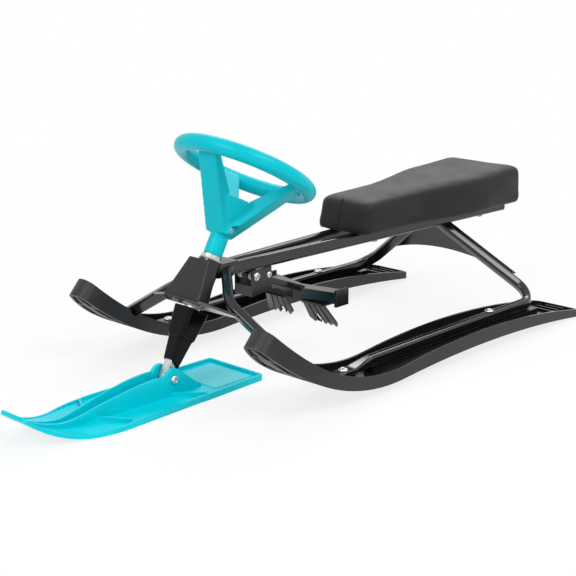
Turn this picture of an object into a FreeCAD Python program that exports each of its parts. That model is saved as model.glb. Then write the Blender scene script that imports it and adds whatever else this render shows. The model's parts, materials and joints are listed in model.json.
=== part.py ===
"""Steering sled: three skis, a bent tube frame, a padded seat, a steering wheel and two foot brakes.

The frame of the part: X points forward, Y to the rider's left, Z up, millimetres.
Z = 0 is the snow, and the origin is midway between the tip of the front ski and the
tails of the rear skis, on the centre plane.
"""
import FreeCAD, Part
import math
import os

import Sketcher
from FreeCAD import Placement, Rotation, Vector

# Driving dimensions: alias, value in millimetres or degrees, meaning
SIZES = [
    # frame tube
    ("tube_width", 16, "frame tube, across"),
    ("tube_height", 21, "frame tube, upright"),
    ("tube_corner", 5, "outer corner radius of the frame tube"),
    ("plug_cap", 3, "cap of a plug in a rail's rear end"),
    ("plug_length", 14, "stub of that plug inside the rail"),
    ("tube_wall", 1.6, "wall of the frame tube"),
    # side tubes: seat rail, front bend, front leg
    ("rail_z", 183, "height of the rails' centre line"),
    ("rail_front_x", 158.5, "corner of the front bend"),
    ("rail_rear_x", -564.5, "open rear end of the rails"),
    ("rail_gap", 3, "gap between the two rails at the front bend"),
    ("rail_rear_y", 47, "half spacing of the rails at their rear end"),
    ("bend_radius", 30, "bend radius of rail into front leg"),
    ("knee_x", 209.5, "corner where the front leg turns outwards"),
    ("knee_y", 67, "same corner, sideways"),
    ("knee_z", 147, "same corner, height"),
    ("knee_radius", 55, "bend radius of the front leg"),
    ("foot_x", 201.5, "where the front leg meets its foot plate"),
    ("foot_plate_rear_x", 135.5, "rear end of the foot plate"),
    ("foot_plate_front_x", 225.5, "front end of the foot plate"),
    ("foot_plate_width", 30, "width of the foot plate"),
    ("foot_plate_thickness", 4, "thickness of the foot plate"),
    ("foot_bolt_x", 158.5, "bolt of the foot plate"),
    # rear tubes: rear leg, rear bend, ski tube
    ("leg_top_x", -393.5, "upper end of the rear leg"),
    ("leg_top_y", 22, "same end, sideways"),
    ("leg_bend_x", -463.5, "corner of the rear bend above the ski"),
    ("leg_bend_radius", 36, "bend radius of the rear bend"),
    ("ski_tube_z", 40, "height of the ski tube's centre line"),
    ("ski_tube_front_x", 29.5, "front end of the full tube section"),
    ("flat_length", 92, "length of the flattened tube end"),
    ("flat_taper", 50, "stretch where the tube flattens"),
    ("flat_width", 24, "width of the flattened tube end"),
    ("flat_thickness", 5, "thickness of the flattened tube end"),
    ("flat_bolt_x", 95.5, "bolt of the flattened tube end"),
    ("tube_bolt_x", -305.5, "domed bolt through the ski tube"),
    # rear skis
    ("ski_track", 205, "half distance between the rear skis' centre lines"),
    ("ski_half_width", 48, "half width of a rear ski"),
    ("ski_contact_x", 25.5, "lowest point of the rear ski's front curve"),
    ("ski_tip_radius", 388, "radius of the upward curve"),
    ("ski_tip_x", 301.5, "foremost point of the rear ski's sole"),
    ("ski_tail_x", -539.5, "tail of the rear ski"),
    ("ski_lift", 13, "height of that point when the sled stands on its front ski and tails"),
    ("ski_camber", 21.5, "crown of the sole between front curve and tail"),
    ("ski_crown", 46, "highest point of the side wall's arched top"),
    ("ski_rim", 21, "side wall height where the front curve is lowest"),
    ("ski_rim_radius", 336, "radius of the side wall's top along the front curve"),
    ("ski_tail_height", 13, "side wall height at the tail"),
    ("ski_floor", 6, "floor thickness"),
    ("ski_wall", 4, "side wall thickness"),
    ("ski_nose_start", 113.5, "where the sides begin to close at the nose"),
    ("ski_nose_radius", 24, "nose radius in plan"),
    ("ski_tail_start", -446.5, "rear end of the floor's long ribs"),
    ("ski_tail_radius", 14, "corner radius of the blunt tail"),
    ("foot_seat", 8, "underside of the foot plate above the sole"),
    ("ski_nose_lean", 42, "lean of the nose's end wall"),
    ("ski_recess_depth", 2.5, "recess in the nose's underside"),
    ("ski_recess_margin", 7, "rim left round that recess"),
    ("ski_keel_half_width", 11, "half width of the lens shaped keel in the recess"),
    ("plinth_half_width", 12, "half width of the tube's plinth on the ski floor"),
    ("plinth_rear_x", -446.5, "rear end of the plinth"),
    ("rib_offset", 25, "distance of the floor ribs from the ski's middle"),
    ("rib_height", 5, "height of the floor ribs"),
    ("rib_width", 3, "width of the floor ribs"),
    ("ski_bolt_radius", 4, "ski bolt shank"),
    ("ski_head_radius", 8, "ski bolt domed head"),
    ("ski_head_height", 5, "ski bolt domed head"),
    ("ski_nut_height", 4, "nut let into the sole"),
    ("ski_nut_radius", 7.5, "nut let into the sole, across corners"),
    # steering column, stations along its axis counted from the ski pivot
    ("column_tilt", 30.5, "lean of the steering axis back from upright"),
    ("pivot_x", 285, "front ski pivot, on the steering axis"),
    ("pivot_z", 30, "front ski pivot, height"),
    ("head_base", 126, "lower end of the head tube"),
    ("head_length", 72, "length of the head tube"),
    ("head_radius", 19, "head tube, outside"),
    ("head_bore", 15, "head tube, inside radius"),
    ("shaft_radius", 12.5, "steering shaft, outside"),
    ("shaft_wall", 2.5, "steering shaft wall"),
    ("shaft_base", 58, "lower end of the steering shaft"),
    ("shaft_top", 276, "upper end of the steering shaft"),
    ("bush_flange", 3.5, "bush flange thickness"),
    ("bush_flange_radius", 18, "bush flange, outside"),
    ("bush_length", 18, "bush sleeve length"),
    ("running_gap", 0.05, "radial clearance of shafts and pins that turn"),
    ("thrust_gap", 0.3, "end clearance between turning faces"),
    ("washer_thickness", 2.4, "thrust washer"),
    ("washer_radius", 17, "thrust washer, outside"),
    # front ski pivot
    ("sleeve_length", 24, "pivot sleeve between the lugs"),
    ("yoke_width", 16, "yoke block, across"),
    ("yoke_depth", 16, "yoke block, fore and aft"),
    ("yoke_stem", 34, "length of the stem inside the shaft"),
    ("sleeve_radius", 6, "pivot sleeve, outside"),
    ("pivot_bolt_radius", 4, "pivot bolt shank"),
    ("pivot_head_radius", 7.5, "pivot bolt domed head"),
    ("pivot_head_height", 4.5, "pivot bolt domed head"),
    ("pivot_nut_height", 7, "pivot nut"),
    ("lug_gap", 0.5, "side clearance between lug and yoke"),
    ("lug_thickness", 7, "front ski lug"),
    ("lug_radius", 18, "front ski lug, round top"),
    ("lug_tail_x", 225.5, "rear end of the lug's web"),
    # front ski
    ("fski_rear_x", 129.5, "rear edge of the front ski"),
    ("fski_tip_x", 577.5, "front edge of the front ski"),
    ("fski_rear_half", 63, "half width at the rear edge"),
    ("fski_half", 71, "greatest half width"),
    ("fski_wide_x", 403.5, "where the front ski is widest"),
    ("fski_tip_half", 30, "half width of the tip edge"),
    ("fski_lift_x", 463.5, "where the sole starts to curve up"),
    ("fski_tip_radius", 168, "radius of the tip's curve"),
    ("fski_nose_lean", 38, "lean of the tip's end wall"),
    ("fski_floor", 5, "floor of the front ski"),
    ("fski_rim", 10, "rim height of the front ski"),
    ("fski_tip_rim", 6, "rim height towards the tip"),
    ("fski_wall", 4, "rim thickness of the front ski"),
    ("fski_rear_corner", 5, "rounded rear corners of the front ski"),
    ("fski_side_round", 160, "rounding of its sides where it is widest"),
    ("fski_tip_corner", 12, "rounded corners of its tip"),
    ("spine_rear_x", 296, "rear end of the spine"),
    ("spine_front_x", 556, "front end of the spine"),
    ("spine_height", 39, "height of the spine at its rear"),
    ("spine_wall", 3.5, "wall of the spine"),
    ("spine_tip_half", 8, "half width of the spine at its front end"),
    ("tip_rib_x", 441.5, "front deck rib, at the spine"),
    ("tip_rib_end_x", 408.5, "front deck rib, at the rim"),
    ("deck_rib_end_x", 254, "rear deck rib, at the rim"),
    ("deck_rib", 12, "height of the slanted deck ribs"),
    ("panel_step", 1.2, "raised panel in the rear tray"),
    # steering cover
    ("cover_base", 16, "lower end of the cover"),
    ("cover_base_half", 10.5, "half width of the cover's lower end"),
    ("cover_slant", 11.5, "rise of the cover's lower edge towards the front"),
    ("cover_shoulder", 66, "station of the shoulder"),
    ("cover_shoulder_half", 18, "half width at the shoulder"),
    ("cover_step", 2, "step of the shoulder"),
    ("cover_top", 115, "upper end of the cover"),
    ("cover_top_half", 23, "half width of the cover's upper end"),
    ("cover_wall", 2.2, "wall of the cover"),
    ("cover_web", 5, "web that grips the shaft"),
    # fairing
    ("fairing_top", 193, "upper edge of the fairing"),
    ("fairing_base", 129, "lower edge of the fairing's shield"),
    ("fairing_top_half", 22.5, "half width of the upper edge"),
    ("fairing_base_half", 39, "half width of the lower edge"),
    ("fairing_top_front", 26, "upper edge ahead of the axis"),
    ("fairing_base_front", 32, "lower edge ahead of the axis"),
    ("fairing_cheek_top", 0, "rear of the cheek at the top, from the axis"),
    ("fairing_cheek_base", 6, "rear of the cheek at the base, from the axis"),
    ("fairing_wall", 2.4, "wall of the fairing"),
    ("fairing_brim", 3, "brim below the shield"),
    ("fairing_brim_out", 3, "overhang of the brim"),
    ("fairing_screw_y", 31, "fairing screws, sideways"),
    ("fairing_screw_x", 14, "fairing screws, ahead of the axis"),
    # front cross plate
    ("cross_thickness", 4, "front cross plate"),
    ("cross_reach", 97, "half span of the cross plate"),
    ("cross_root", 25, "half depth of the plate at the column"),
    ("cross_tip", 8, "half depth of the plate at the legs"),
    ("cross_shift", -10, "offset of the wing tips behind the axis"),
    # neck box
    ("neck_rear_x", 139.5, "rear face of the neck box"),
    ("neck_skin", 2.5, "skin of the neck box over the rails"),
    # steering wheel, heights above its lower end
    ("wheel_height", 150, "ring plane above the wheel's lower end"),
    ("ring_radius", 108, "ring, middle of its section"),
    ("ring_section", 13.5, "radius of the ring's section"),
    ("neck_radius", 15.5, "neck of the wheel"),
    ("neck_height", 36, "height of the neck"),
    ("hub_radius", 46, "upper radius of the hub cone"),
    ("hub_height", 96, "upper edge of the hub cone"),
    ("spoke_width", 40, "width of a spoke"),
    ("spoke_count", 3, "spokes"),
    ("wheel_bolt_station", 48, "cross bolt above the wheel's lower end"),
    ("wheel_bolt_radius", 3, "cross bolt shank"),
    ("wheel_head_radius", 6, "cross bolt head"),
    ("wheel_head_height", 3.5, "cross bolt head"),
    ("wheel_boss", 19, "half length of the cross bolt's boss"),
    # seat
    ("strap_thickness", 2, "cross straps under the seat board"),
    ("strap_width", 34, "cross straps, fore and aft"),
    ("board_thickness", 9, "seat board"),
    ("board_margin", 9, "cushion beyond the seat board"),
    ("soft_gap", 0.3, "clearance round soft pieces"),
    ("seat_front_x", -130.5, "front face of the cushion"),
    ("seat_rear_x", -577.5, "rear face of the cushion"),
    ("seat_front_half", 58, "half width of the seat at the front"),
    ("seat_waist_x", -281.5, "where the sides begin to widen"),
    ("seat_waist_half", 61, "half width there"),
    ("seat_hip_x", -424.5, "where the sides stop widening"),
    ("seat_hip_half", 90, "half width there"),
    ("seat_rear_half", 88, "half width of the seat at the rear"),
    ("seat_front_thick", 53, "cushion thickness at the front"),
    ("seat_rear_thick", 70, "cushion thickness at the rear"),
    ("seat_corner", 16, "corner radius in plan"),
    ("seat_waist_round", 420, "rounding of the seat's side at its waist"),
    ("seat_hip_round", 380, "rounding of the seat's side at its hip"),
    ("seat_lean", 9, "how far the front face leans back over its height"),
    ("seat_bolt_front_x", -193.5, "front seat bolts"),
    ("seat_bolt_rear_x", -496.5, "rear seat bolts"),
    ("seat_bolt_radius", 3, "seat bolt shank"),
    ("seat_head_radius", 6, "seat bolt head"),
    ("seat_head_height", 3.5, "seat bolt head"),
    # rear gusset
    ("gusset_thickness", 3, "arched plate between the rear legs"),
    ("gusset_crown", 76, "lower edge at the middle, down the legs"),
    ("gusset_end", 106, "lower edge at the legs, down the legs"),
    ("gusset_overlap", 6, "plate beyond the leg's centre line"),
    # brakes
    ("brake_pivot_x", 100.5, "brake pivot"),
    ("brake_pivot_z", 161.5, "brake pivot, height"),
    ("bracket_half_width", 20.5, "brake bracket, outside"),
    ("bracket_plate", 3, "brake bracket plate"),
    ("bracket_front_x", 110.5, "front face of the bracket"),
    ("bracket_rear_x", 64.5, "rear edge of the bracket"),
    ("bracket_front_z", 128, "lower front corner of the bracket"),
    ("bracket_rear_z", 134, "lower rear corner of the bracket"),
    ("bracket_lip", 146, "upper edge of the bracket's front plate"),
    ("brake_bolt_radius", 4, "brake pivot bolt"),
    ("brake_head_radius", 7, "brake pivot bolt head"),
    ("brake_head_height", 4.5, "brake pivot bolt head"),
    ("stop_x", 70.5, "stop bolt of the brakes"),
    ("stop_radius", 3, "stop bolt"),
    ("lever_middle_gap", 0.6, "half gap between the two levers"),
    ("lever_hub_radius", 8.5, "hub of a brake lever"),
    ("lever_hub_width", 5.5, "width of that hub"),
    ("arm_half_thick", 5.3, "half thickness of a lever's arm"),
    ("arm_drop", 21, "fall of the arm to the rear, in degrees"),
    ("pedal_inner_x", -20.5, "middle of the pedal at its inner end"),
    ("pedal_outer_x", -40.5, "middle of the pedal at its outer end"),
    ("pedal_outer_y", 86, "outer end of the pedal"),
    ("pedal_z", 109, "middle of the pedal, height"),
    ("pedal_half_height", 10, "half height of the pedal"),
    ("pedal_depth", 26, "pedal, fore and aft"),
    ("pedal_end_half", 15, "half height of the flared end plate"),
    ("pedal_end_thickness", 4, "flared end plate"),
    ("claw_inner_y", 20, "inner edge of a claw"),
    ("claw_top_y", 68, "outer edge of a claw at the pedal"),
    ("claw_foot_y", 80, "outer edge of a claw at its teeth"),
    ("claw_foot_x", -35.5, "teeth of the claw"),
    ("claw_foot_z", 56, "teeth of the claw, height"),
    ("claw_reach", 8, "upper edge of the claw ahead of the pedal's inner middle"),
    ("claw_thickness", 4, "claw plate"),
    ("claw_teeth", 5, "teeth of a claw"),
    ("claw_tooth", 9, "depth of a tooth"),
    ("claw_rib", 1.1, "height of a claw's ribs"),
    ("claw_bolt_radius", 3, "bolt that joins claw and pedal"),
    ("claw_head_radius", 5.5, "head of that bolt"),
    ("spring_wire", 0.75, "brake spring, wire radius"),
    ("spring_radius", 6.3, "brake spring, middle of the coil"),
    ("spring_turns", 4, "whole turns of a brake spring"),
    ("spring_pitch", 2.0, "pitch of a brake spring"),
    ("spring_leg", 26, "leg of a brake spring along the lever"),
]

doc = FreeCAD.newDocument("steering_sled")
sheet = doc.addObject("Spreadsheet::Sheet", "Sizes")
for row, (alias, value, meaning) in enumerate(SIZES, start=1):
    sheet.set("A%d" % row, meaning)
    sheet.set("B%d" % row, str(value))
    sheet.setAlias("B%d" % row, alias)
doc.recompute()

NODES = {}
FULL_TURN = 360.0
UP = Vector(0, 0, 1)
LEFT = Vector(0, 1, 0)


def size(alias):
    """One value of the sheet."""
    return float(sheet.get(alias))


REACH = size("fski_tip_x") - size("seat_rear_x")


def node(name, item):
    """Name an object of the document as a sub-part."""
    item.Label = name
    NODES[name] = item
    return item


def solid_node(name, shape, placement=None):
    """A sub-part whose shape is worked out here from the sheet's values."""
    item = doc.addObject("Part::Feature", name)
    item.Shape = shape
    if placement:
        item.Placement = placement
    return node(name, item)


def mirrored_node(name, source):
    """The right-hand twin of a left-hand sub-part."""
    item = doc.addObject("Part::Mirroring", name)
    item.Source = source
    item.Base = Vector(0, 0, 0)
    item.Normal = LEFT
    return node(name, item)


def origin_plane(body, role):
    """The body's own origin plane of that role."""
    return next(item for item in body.Origin.OriginFeatures if item.Role == role)


def polygon_sketch(body, name, role, corners, offset="0"):
    """A closed polygon on an origin plane; each corner is a pair of expressions."""
    sketch = body.newObject("Sketcher::SketchObject", name)
    sketch.AttachmentSupport = (origin_plane(body, role), [""])
    sketch.MapMode = "FlatFace"
    sketch.setExpression("AttachmentOffset.Base.z", offset)
    places = [tuple(float(sheet.evalExpression(part)) for part in corner) for corner in corners]
    count = len(places)
    for index in range(count):
        first = Vector(*places[index], 0)
        second = Vector(*places[(index + 1) % count], 0)
        sketch.addGeometry(Part.LineSegment(first, second), False)
    for index in range(count):
        sketch.addConstraint(Sketcher.Constraint("Coincident", index, 2, (index + 1) % count, 1))
    for index, corner in enumerate(corners):
        for axis, kind in enumerate(("DistanceX", "DistanceY")):
            rule = Sketcher.Constraint(kind, -1, 1, index, 1, places[index][axis])
            number = sketch.addConstraint(rule)
            sketch.setExpression("Constraints[%d]" % number, corner[axis])
    return sketch


def circle_sketch(body, name, role, across, along, radius, offset="0"):
    """One circle on an origin plane; centre and radius are expressions."""
    sketch = body.newObject("Sketcher::SketchObject", name)
    sketch.AttachmentSupport = (origin_plane(body, role), [""])
    sketch.MapMode = "FlatFace"
    sketch.setExpression("AttachmentOffset.Base.z", offset)
    places = [float(sheet.evalExpression(part)) for part in (across, along, radius)]
    sketch.addGeometry(Part.Circle(Vector(places[0], places[1], 0), UP, places[2]), False)
    rules = [
        (Sketcher.Constraint("DistanceX", -1, 1, 0, 3, places[0]), across),
        (Sketcher.Constraint("DistanceY", -1, 1, 0, 3, places[1]), along),
        (Sketcher.Constraint("Radius", 0, places[2]), radius),
    ]
    for rule, text in rules:
        number = sketch.addConstraint(rule)
        sketch.setExpression("Constraints[%d]" % number, text)
    return sketch


def new_body(name):
    """An empty body of the document."""
    return doc.addObject("PartDesign::Body", name)


def revolve(body, sketch, name, kind="PartDesign::Revolution"):
    """Turn a sketch once round the body's Z axis."""
    feature = body.newObject(kind, name)
    feature.Profile = sketch
    feature.ReferenceAxis = (sketch, ["V_Axis"])
    feature.Angle = FULL_TURN
    return feature


def pad(body, sketch, name, length, both_ways=False):
    """Pad a sketch by an expression."""
    feature = body.newObject("PartDesign::Pad", name)
    feature.Profile = sketch
    feature.Midplane = both_ways
    feature.setExpression("Length", length)
    return feature


def turned(name, corners):
    """A body turned from a profile of radius and height expressions."""
    body = new_body(name)
    revolve(body, polygon_sketch(body, name + "_profile", "XZ_Plane", corners), name + "_turn")
    return body


def column_placement(station=0.0):
    """The steering axis as local Z, with local X ahead of it, at a station above the ski pivot."""
    lean = Rotation(LEFT, -size("column_tilt"))
    foot = Vector(size("pivot_x"), 0, size("pivot_z"))
    return Placement(foot + lean.multVec(UP * station), lean)


def on_column(item, station):
    """Stand an object on the steering axis; the station is an expression."""
    item.Placement = column_placement(float(sheet.evalExpression(station)))
    tilt = "Sizes.column_tilt"
    item.setExpression("Placement.Base.x", "Sizes.pivot_x - (%s) * sin(%s)" % (station, tilt))
    item.setExpression("Placement.Base.z", "Sizes.pivot_z + (%s) * cos(%s)" % (station, tilt))
    return item


def corner_arc(before, corner, after, radius):
    """The tangent arc that rounds a corner: its two ends and its middle."""
    back = (before - corner).normalize()
    ahead = (after - corner).normalize()
    half = back.getAngle(ahead) / 2.0
    reach = radius / math.tan(half)
    middle = corner + (back + ahead).normalize() * (radius / math.sin(half) - radius)
    return corner + back * reach, middle, corner + ahead * reach


def open_route(points, radii):
    """Straight runs joined by tangent arcs, from the first point to the last."""
    edges = []
    start = points[0]
    for before, corner, after, radius in zip(points, points[1:], points[2:], radii):
        first, middle, last = corner_arc(before, corner, after, radius)
        edges.append(Part.LineSegment(start, first).toShape())
        edges.append(Part.Arc(first, middle, last).toShape())
        start = last
    edges.append(Part.LineSegment(start, points[-1]).toShape())
    return Part.Wire(edges)


def closed_outline(points, radii):
    """A closed outline of lines and tangent arcs, one radius for each corner."""
    count = len(points)
    arcs = []
    for index in range(count):
        arcs.append(corner_arc(points[index - 1], points[index], points[(index + 1) % count], radii[index]))
    edges = []
    for index, (first, middle, last) in enumerate(arcs):
        edges.append(Part.Arc(first, middle, last).toShape())
        edges.append(Part.LineSegment(last, arcs[(index + 1) % count][0]).toShape())
    return Part.Wire(edges)


def tube_section(start, ahead, width, height, corner):
    """A rounded rectangle across a path's start, upright as far as the path allows."""
    along = Vector(ahead).normalize()
    side = UP.cross(along).normalize()
    top = along.cross(side)
    points = []
    for across, upright in ((1, 1), (-1, 1), (-1, -1), (1, -1)):
        points.append(start + side * (across * width / 2) + top * (upright * height / 2))
    return closed_outline(points, [corner] * 4)


def bent_tube(points, radii):
    """A frame tube along a route: its outer solid and the hollow tube."""
    path = open_route(points, radii)
    wall = size("tube_wall")
    ahead = points[1] - points[0]
    width, height, corner = size("tube_width"), size("tube_height"), size("tube_corner")
    outer_section = tube_section(points[0], ahead, width, height, corner)
    inner_section = tube_section(points[0], ahead, width - 2 * wall, height - 2 * wall, corner - wall)
    outer = path.makePipeShell([outer_section], True, False)
    inner = path.makePipeShell([inner_section], True, False)
    return outer, outer.cut(inner)


def block(low, high):
    """A box between two corners."""
    return Part.makeBox(high.x - low.x, high.y - low.y, high.z - low.z, low)


def rod(start, direction, radius, length):
    """A plain cylinder from a start point."""
    return Part.makeCylinder(radius, length, start, direction)


def domed_bolt(seat, direction, shank_radius, shank_length, head_radius, head_height):
    """A domed bolt: its head stands on the seat point, its shank runs along the direction."""
    along = Vector(direction).normalize()
    lift = head_height * 0.35
    rim, crown = head_radius * 0.74, head_radius * 0.25
    profile = [
        Part.LineSegment(Vector(0, 0, shank_length), Vector(shank_radius, 0, shank_length)).toShape(),
        Part.LineSegment(Vector(shank_radius, 0, shank_length), Vector(shank_radius, 0, 0)).toShape(),
        Part.LineSegment(Vector(shank_radius, 0, 0), Vector(head_radius, 0, 0)).toShape(),
        Part.LineSegment(Vector(head_radius, 0, 0), Vector(head_radius, 0, -lift)).toShape(),
        Part.Arc(
            Vector(head_radius, 0, -lift), Vector(rim, 0, -head_height * 0.78), Vector(crown, 0, -head_height)
        ).toShape(),
        Part.LineSegment(Vector(crown, 0, -head_height), Vector(0, 0, -head_height)).toShape(),
        Part.LineSegment(Vector(0, 0, -head_height), Vector(0, 0, shank_length)).toShape(),
    ]
    turned_bolt = Part.Face(Part.Wire(profile)).revolve(Vector(0, 0, 0), UP, FULL_TURN)
    turned_bolt.Placement = Placement(seat, Rotation(UP, along))
    return turned_bolt


def hexagon_nut(seat, direction, bore, across, height):
    """A plain hexagon nut that stands on the seat point."""
    points = [Vector(across * math.cos(k * math.pi / 3), across * math.sin(k * math.pi / 3), 0) for k in range(6)]
    body = Part.Face(Part.makePolygon(points + points[:1])).extrude(UP * height)
    body = body.cut(rod(Vector(0, 0, -1), UP, bore, height + 2))
    body.Placement = Placement(seat, Rotation(UP, Vector(direction).normalize()))
    return body


def flip(shape):
    """The shape's twin on the other side of the centre plane."""
    return shape.mirror(Vector(0, 0, 0), LEFT)


# Side tubes: seat rail, front bend and front leg

RAIL_FRONT_Y = (size("rail_gap") + size("tube_width")) / 2
RAIL_TOP = size("rail_z") + size("tube_height") / 2
RAIL_BOTTOM = size("rail_z") - size("tube_height") / 2


def rail_y(x):
    """Sideways place of the left rail's centre line."""
    share = (size("rail_front_x") - x) / (size("rail_front_x") - size("rail_rear_x"))
    return RAIL_FRONT_Y + share * (size("rail_rear_y") - RAIL_FRONT_Y)


CURVE_HUB = Vector(size("ski_contact_x"), 0, size("ski_lift") + size("ski_tip_radius"))


def on_curve(x, height):
    """Height of a line that runs a given height above the rear ski's front curve."""
    radius = size("ski_tip_radius") - height
    return CURVE_HUB.z - math.sqrt(radius ** 2 - (x - CURVE_HUB.x) ** 2)


FOOT_TOP = size("foot_seat") + size("foot_plate_thickness")
FOOT_POINT = Vector(size("foot_x"), size("ski_track"), on_curve(size("foot_x"), FOOT_TOP))


def curve_band(low, high, rear_x, front_x, half_width):
    """A slab that follows the rear ski's front curve between two heights above its sole."""
    centre = CURVE_HUB + LEFT * (size("ski_track") - half_width)
    outer = rod(centre, LEFT, size("ski_tip_radius") - low, 2 * half_width)
    inner = rod(centre, LEFT, size("ski_tip_radius") - high, 2 * half_width)
    window = block(
        Vector(rear_x, centre.y - 1, -REACH), Vector(front_x, centre.y + 2 * half_width + 1, CURVE_HUB.z)
    )
    return outer.cut(inner).common(window)


def side_tube():
    """Seat rail, front bend and front leg, trimmed to the foot plate; also the untrimmed outside."""
    points = [
        Vector(size("rail_rear_x"), size("rail_rear_y"), size("rail_z")),
        Vector(size("rail_front_x"), RAIL_FRONT_Y, size("rail_z")),
        Vector(size("knee_x"), size("knee_y"), size("knee_z")),
        FOOT_POINT,
    ]
    outer, hollow = bent_tube(points, [size("bend_radius"), size("knee_radius")])
    trim = curve_band(
        -size("ski_floor"), FOOT_TOP, size("foot_plate_rear_x"), size("foot_plate_front_x"), size("ski_half_width")
    )
    hollow = hollow.cut(trim)
    for x in (size("seat_bolt_front_x"), size("seat_bolt_rear_x")):
        hollow = hollow.cut(rod(Vector(x, rail_y(x), 0), UP, size("seat_bolt_radius") + size("running_gap"), REACH))
    return outer, hollow


RAIL_OUTER, rail_hollow = side_tube()
left_side = solid_node("left_side_tube", rail_hollow)
mirrored_node("right_side_tube", left_side)


def rail_plug():
    """A plug for the rail's open rear end: a cap and a stub inside the tube."""
    rear = Vector(size("rail_rear_x"), size("rail_rear_y"), size("rail_z"))
    front = Vector(size("rail_front_x"), RAIL_FRONT_Y, size("rail_z"))
    ahead = (front - rear).normalize()
    wall = size("tube_wall") + size("running_gap")
    width, height, corner = size("tube_width"), size("tube_height"), size("tube_corner")
    cap = Part.Face(tube_section(rear, ahead, width, height, corner)).extrude(ahead * -size("plug_cap"))
    stub_section = tube_section(rear, ahead, width - 2 * wall, height - 2 * wall, corner - wall)
    return cap.fuse(Part.Face(stub_section).extrude(ahead * size("plug_length")))


plug = rail_plug()
solid_node("rail_end_plugs", Part.makeCompound([plug, flip(plug)]))

# Rear tubes: rear leg, rear bend and ski tube with a flattened end

LEG_TOP = Vector(size("leg_top_x"), size("leg_top_y"), RAIL_BOTTOM)
LEG_BEND = Vector(size("leg_bend_x"), size("ski_track"), size("ski_tube_z"))
TUBE_FRONT = Vector(size("ski_tube_front_x"), size("ski_track"), size("ski_tube_z"))
TUBE_SEAT = size("ski_tube_z") - size("tube_height") / 2
TUBE_CROWN = size("ski_tube_z") + size("tube_height") / 2
FLAT_BASE = TUBE_SEAT + 6


def flattened_end():
    """The front end of the ski tube, squeezed flat: a taper and a rounded tongue."""
    ahead = Vector(1, 0, 0)
    full = tube_section(TUBE_FRONT, ahead, size("tube_width"), size("tube_height"), size("tube_corner"))
    middle = FLAT_BASE + size("flat_thickness") / 2
    taper_end = Vector(TUBE_FRONT.x + size("flat_taper"), TUBE_FRONT.y, middle)
    edge = size("flat_thickness") * 0.4
    flat = tube_section(taper_end, ahead, size("flat_width"), size("flat_thickness"), edge)
    taper = Part.makeLoft([full, flat], True, True)
    half = size("flat_width") / 2
    end_x = TUBE_FRONT.x + size("flat_length") - half
    tongue = block(
        Vector(taper_end.x, TUBE_FRONT.y - half, FLAT_BASE),
        Vector(end_x, TUBE_FRONT.y + half, FLAT_BASE + size("flat_thickness")),
    )
    rounded = rod(Vector(end_x, TUBE_FRONT.y, FLAT_BASE), UP, half, size("flat_thickness"))
    return taper.fuse([tongue, rounded])


def rear_tube():
    """Rear leg, bend and ski tube, trimmed under the rail, with its two bolt holes."""
    outer, hollow = bent_tube([TUBE_FRONT, LEG_BEND, LEG_TOP], [size("leg_bend_radius")])
    above = block(Vector(-REACH, -REACH, RAIL_BOTTOM), Vector(REACH, REACH, REACH))
    shape = hollow.cut(above).fuse(flattened_end())
    for x in (size("tube_bolt_x"), size("flat_bolt_x")):
        hole = rod(Vector(x, size("ski_track"), -1), UP, size("ski_bolt_radius") + size("running_gap"), REACH)
        shape = shape.cut(hole)
    return outer.cut(above), shape.removeSplitter()


LEG_OUTER, leg_shape = rear_tube()
left_leg = solid_node("left_rear_tube", leg_shape)
mirrored_node("right_rear_tube", left_leg)

# Foot plates under the front legs

foot_plate = curve_band(
    size("foot_seat"), FOOT_TOP, size("foot_plate_rear_x"), size("foot_plate_front_x"), size("foot_plate_width") / 2
)
HEAD_ROOM = 0.2
LEG_ROOM = math.hypot(size("tube_width"), size("tube_height")) / 2
NUT_SHY = 1.0
FOOT_SOLE = Vector(size("foot_bolt_x"), size("ski_track"), on_curve(size("foot_bolt_x"), 0))
FOOT_UPRIGHT = Vector(CURVE_HUB.x - FOOT_SOLE.x, 0, CURVE_HUB.z - FOOT_SOLE.z).normalize()
foot_hole = rod(FOOT_SOLE, FOOT_UPRIGHT, size("ski_bolt_radius") + size("running_gap"), 2 * FOOT_TOP)
left_foot = solid_node("left_foot_plate", foot_plate.cut(foot_hole))
mirrored_node("right_foot_plate", left_foot)

# Rear skis


WALL_HUB = Vector(size("ski_contact_x"), 0, size("ski_lift") + size("ski_rim") + size("ski_rim_radius"))


def arch_through(hub, curve, crown, tail_height):
    """Centre and radius of the arch that meets a front curve in a tangent and ends at the tail.

    The front curve has its centre above the contact point; the arch has its centre below, its
    crown at the given height, and it passes the tail at the tail height. The arch's middle is
    found by halving the interval between tail and contact point.
    """
    tail = size("ski_tail_x")
    rise = crown - tail_height

    def radius_at(middle):
        return ((tail - middle) ** 2 + rise ** 2) / (2 * rise)

    def miss(middle):
        arch = radius_at(middle)
        return (middle - hub.x) ** 2 + (hub.z - crown + arch) ** 2 - (curve + arch) ** 2

    low, high = tail, hub.x
    for _ in range(60):
        middle = (low + high) / 2
        if miss(middle) > 0:
            low = middle
        else:
            high = middle
    return Vector(middle, 0, crown - radius_at(middle)), radius_at(middle)


def runner_edges(hub, radius, centre, arch):
    """Edges of a side curve, from past the tip, along the front curve and the arch, past the tail."""
    joint = hub + (centre - hub).normalize() * radius

    def on_front(angle):
        return hub + Vector(math.sin(angle) * radius, 0, -math.cos(angle) * radius)

    far = math.radians(64)
    near = math.atan2(joint.x - hub.x, hub.z - joint.z)
    tail_x = size("ski_tail_x") - 30

    def on_arch(x):
        return Vector(x, 0, centre.z + math.sqrt(arch ** 2 - (x - centre.x) ** 2))

    front = Part.Arc(on_front(far), on_front((far + near) / 2), joint).toShape()
    rear = Part.Arc(joint, on_arch((joint.x + tail_x) / 2), on_arch(tail_x)).toShape()
    return [front, rear], on_front(far), on_arch(tail_x)


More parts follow.
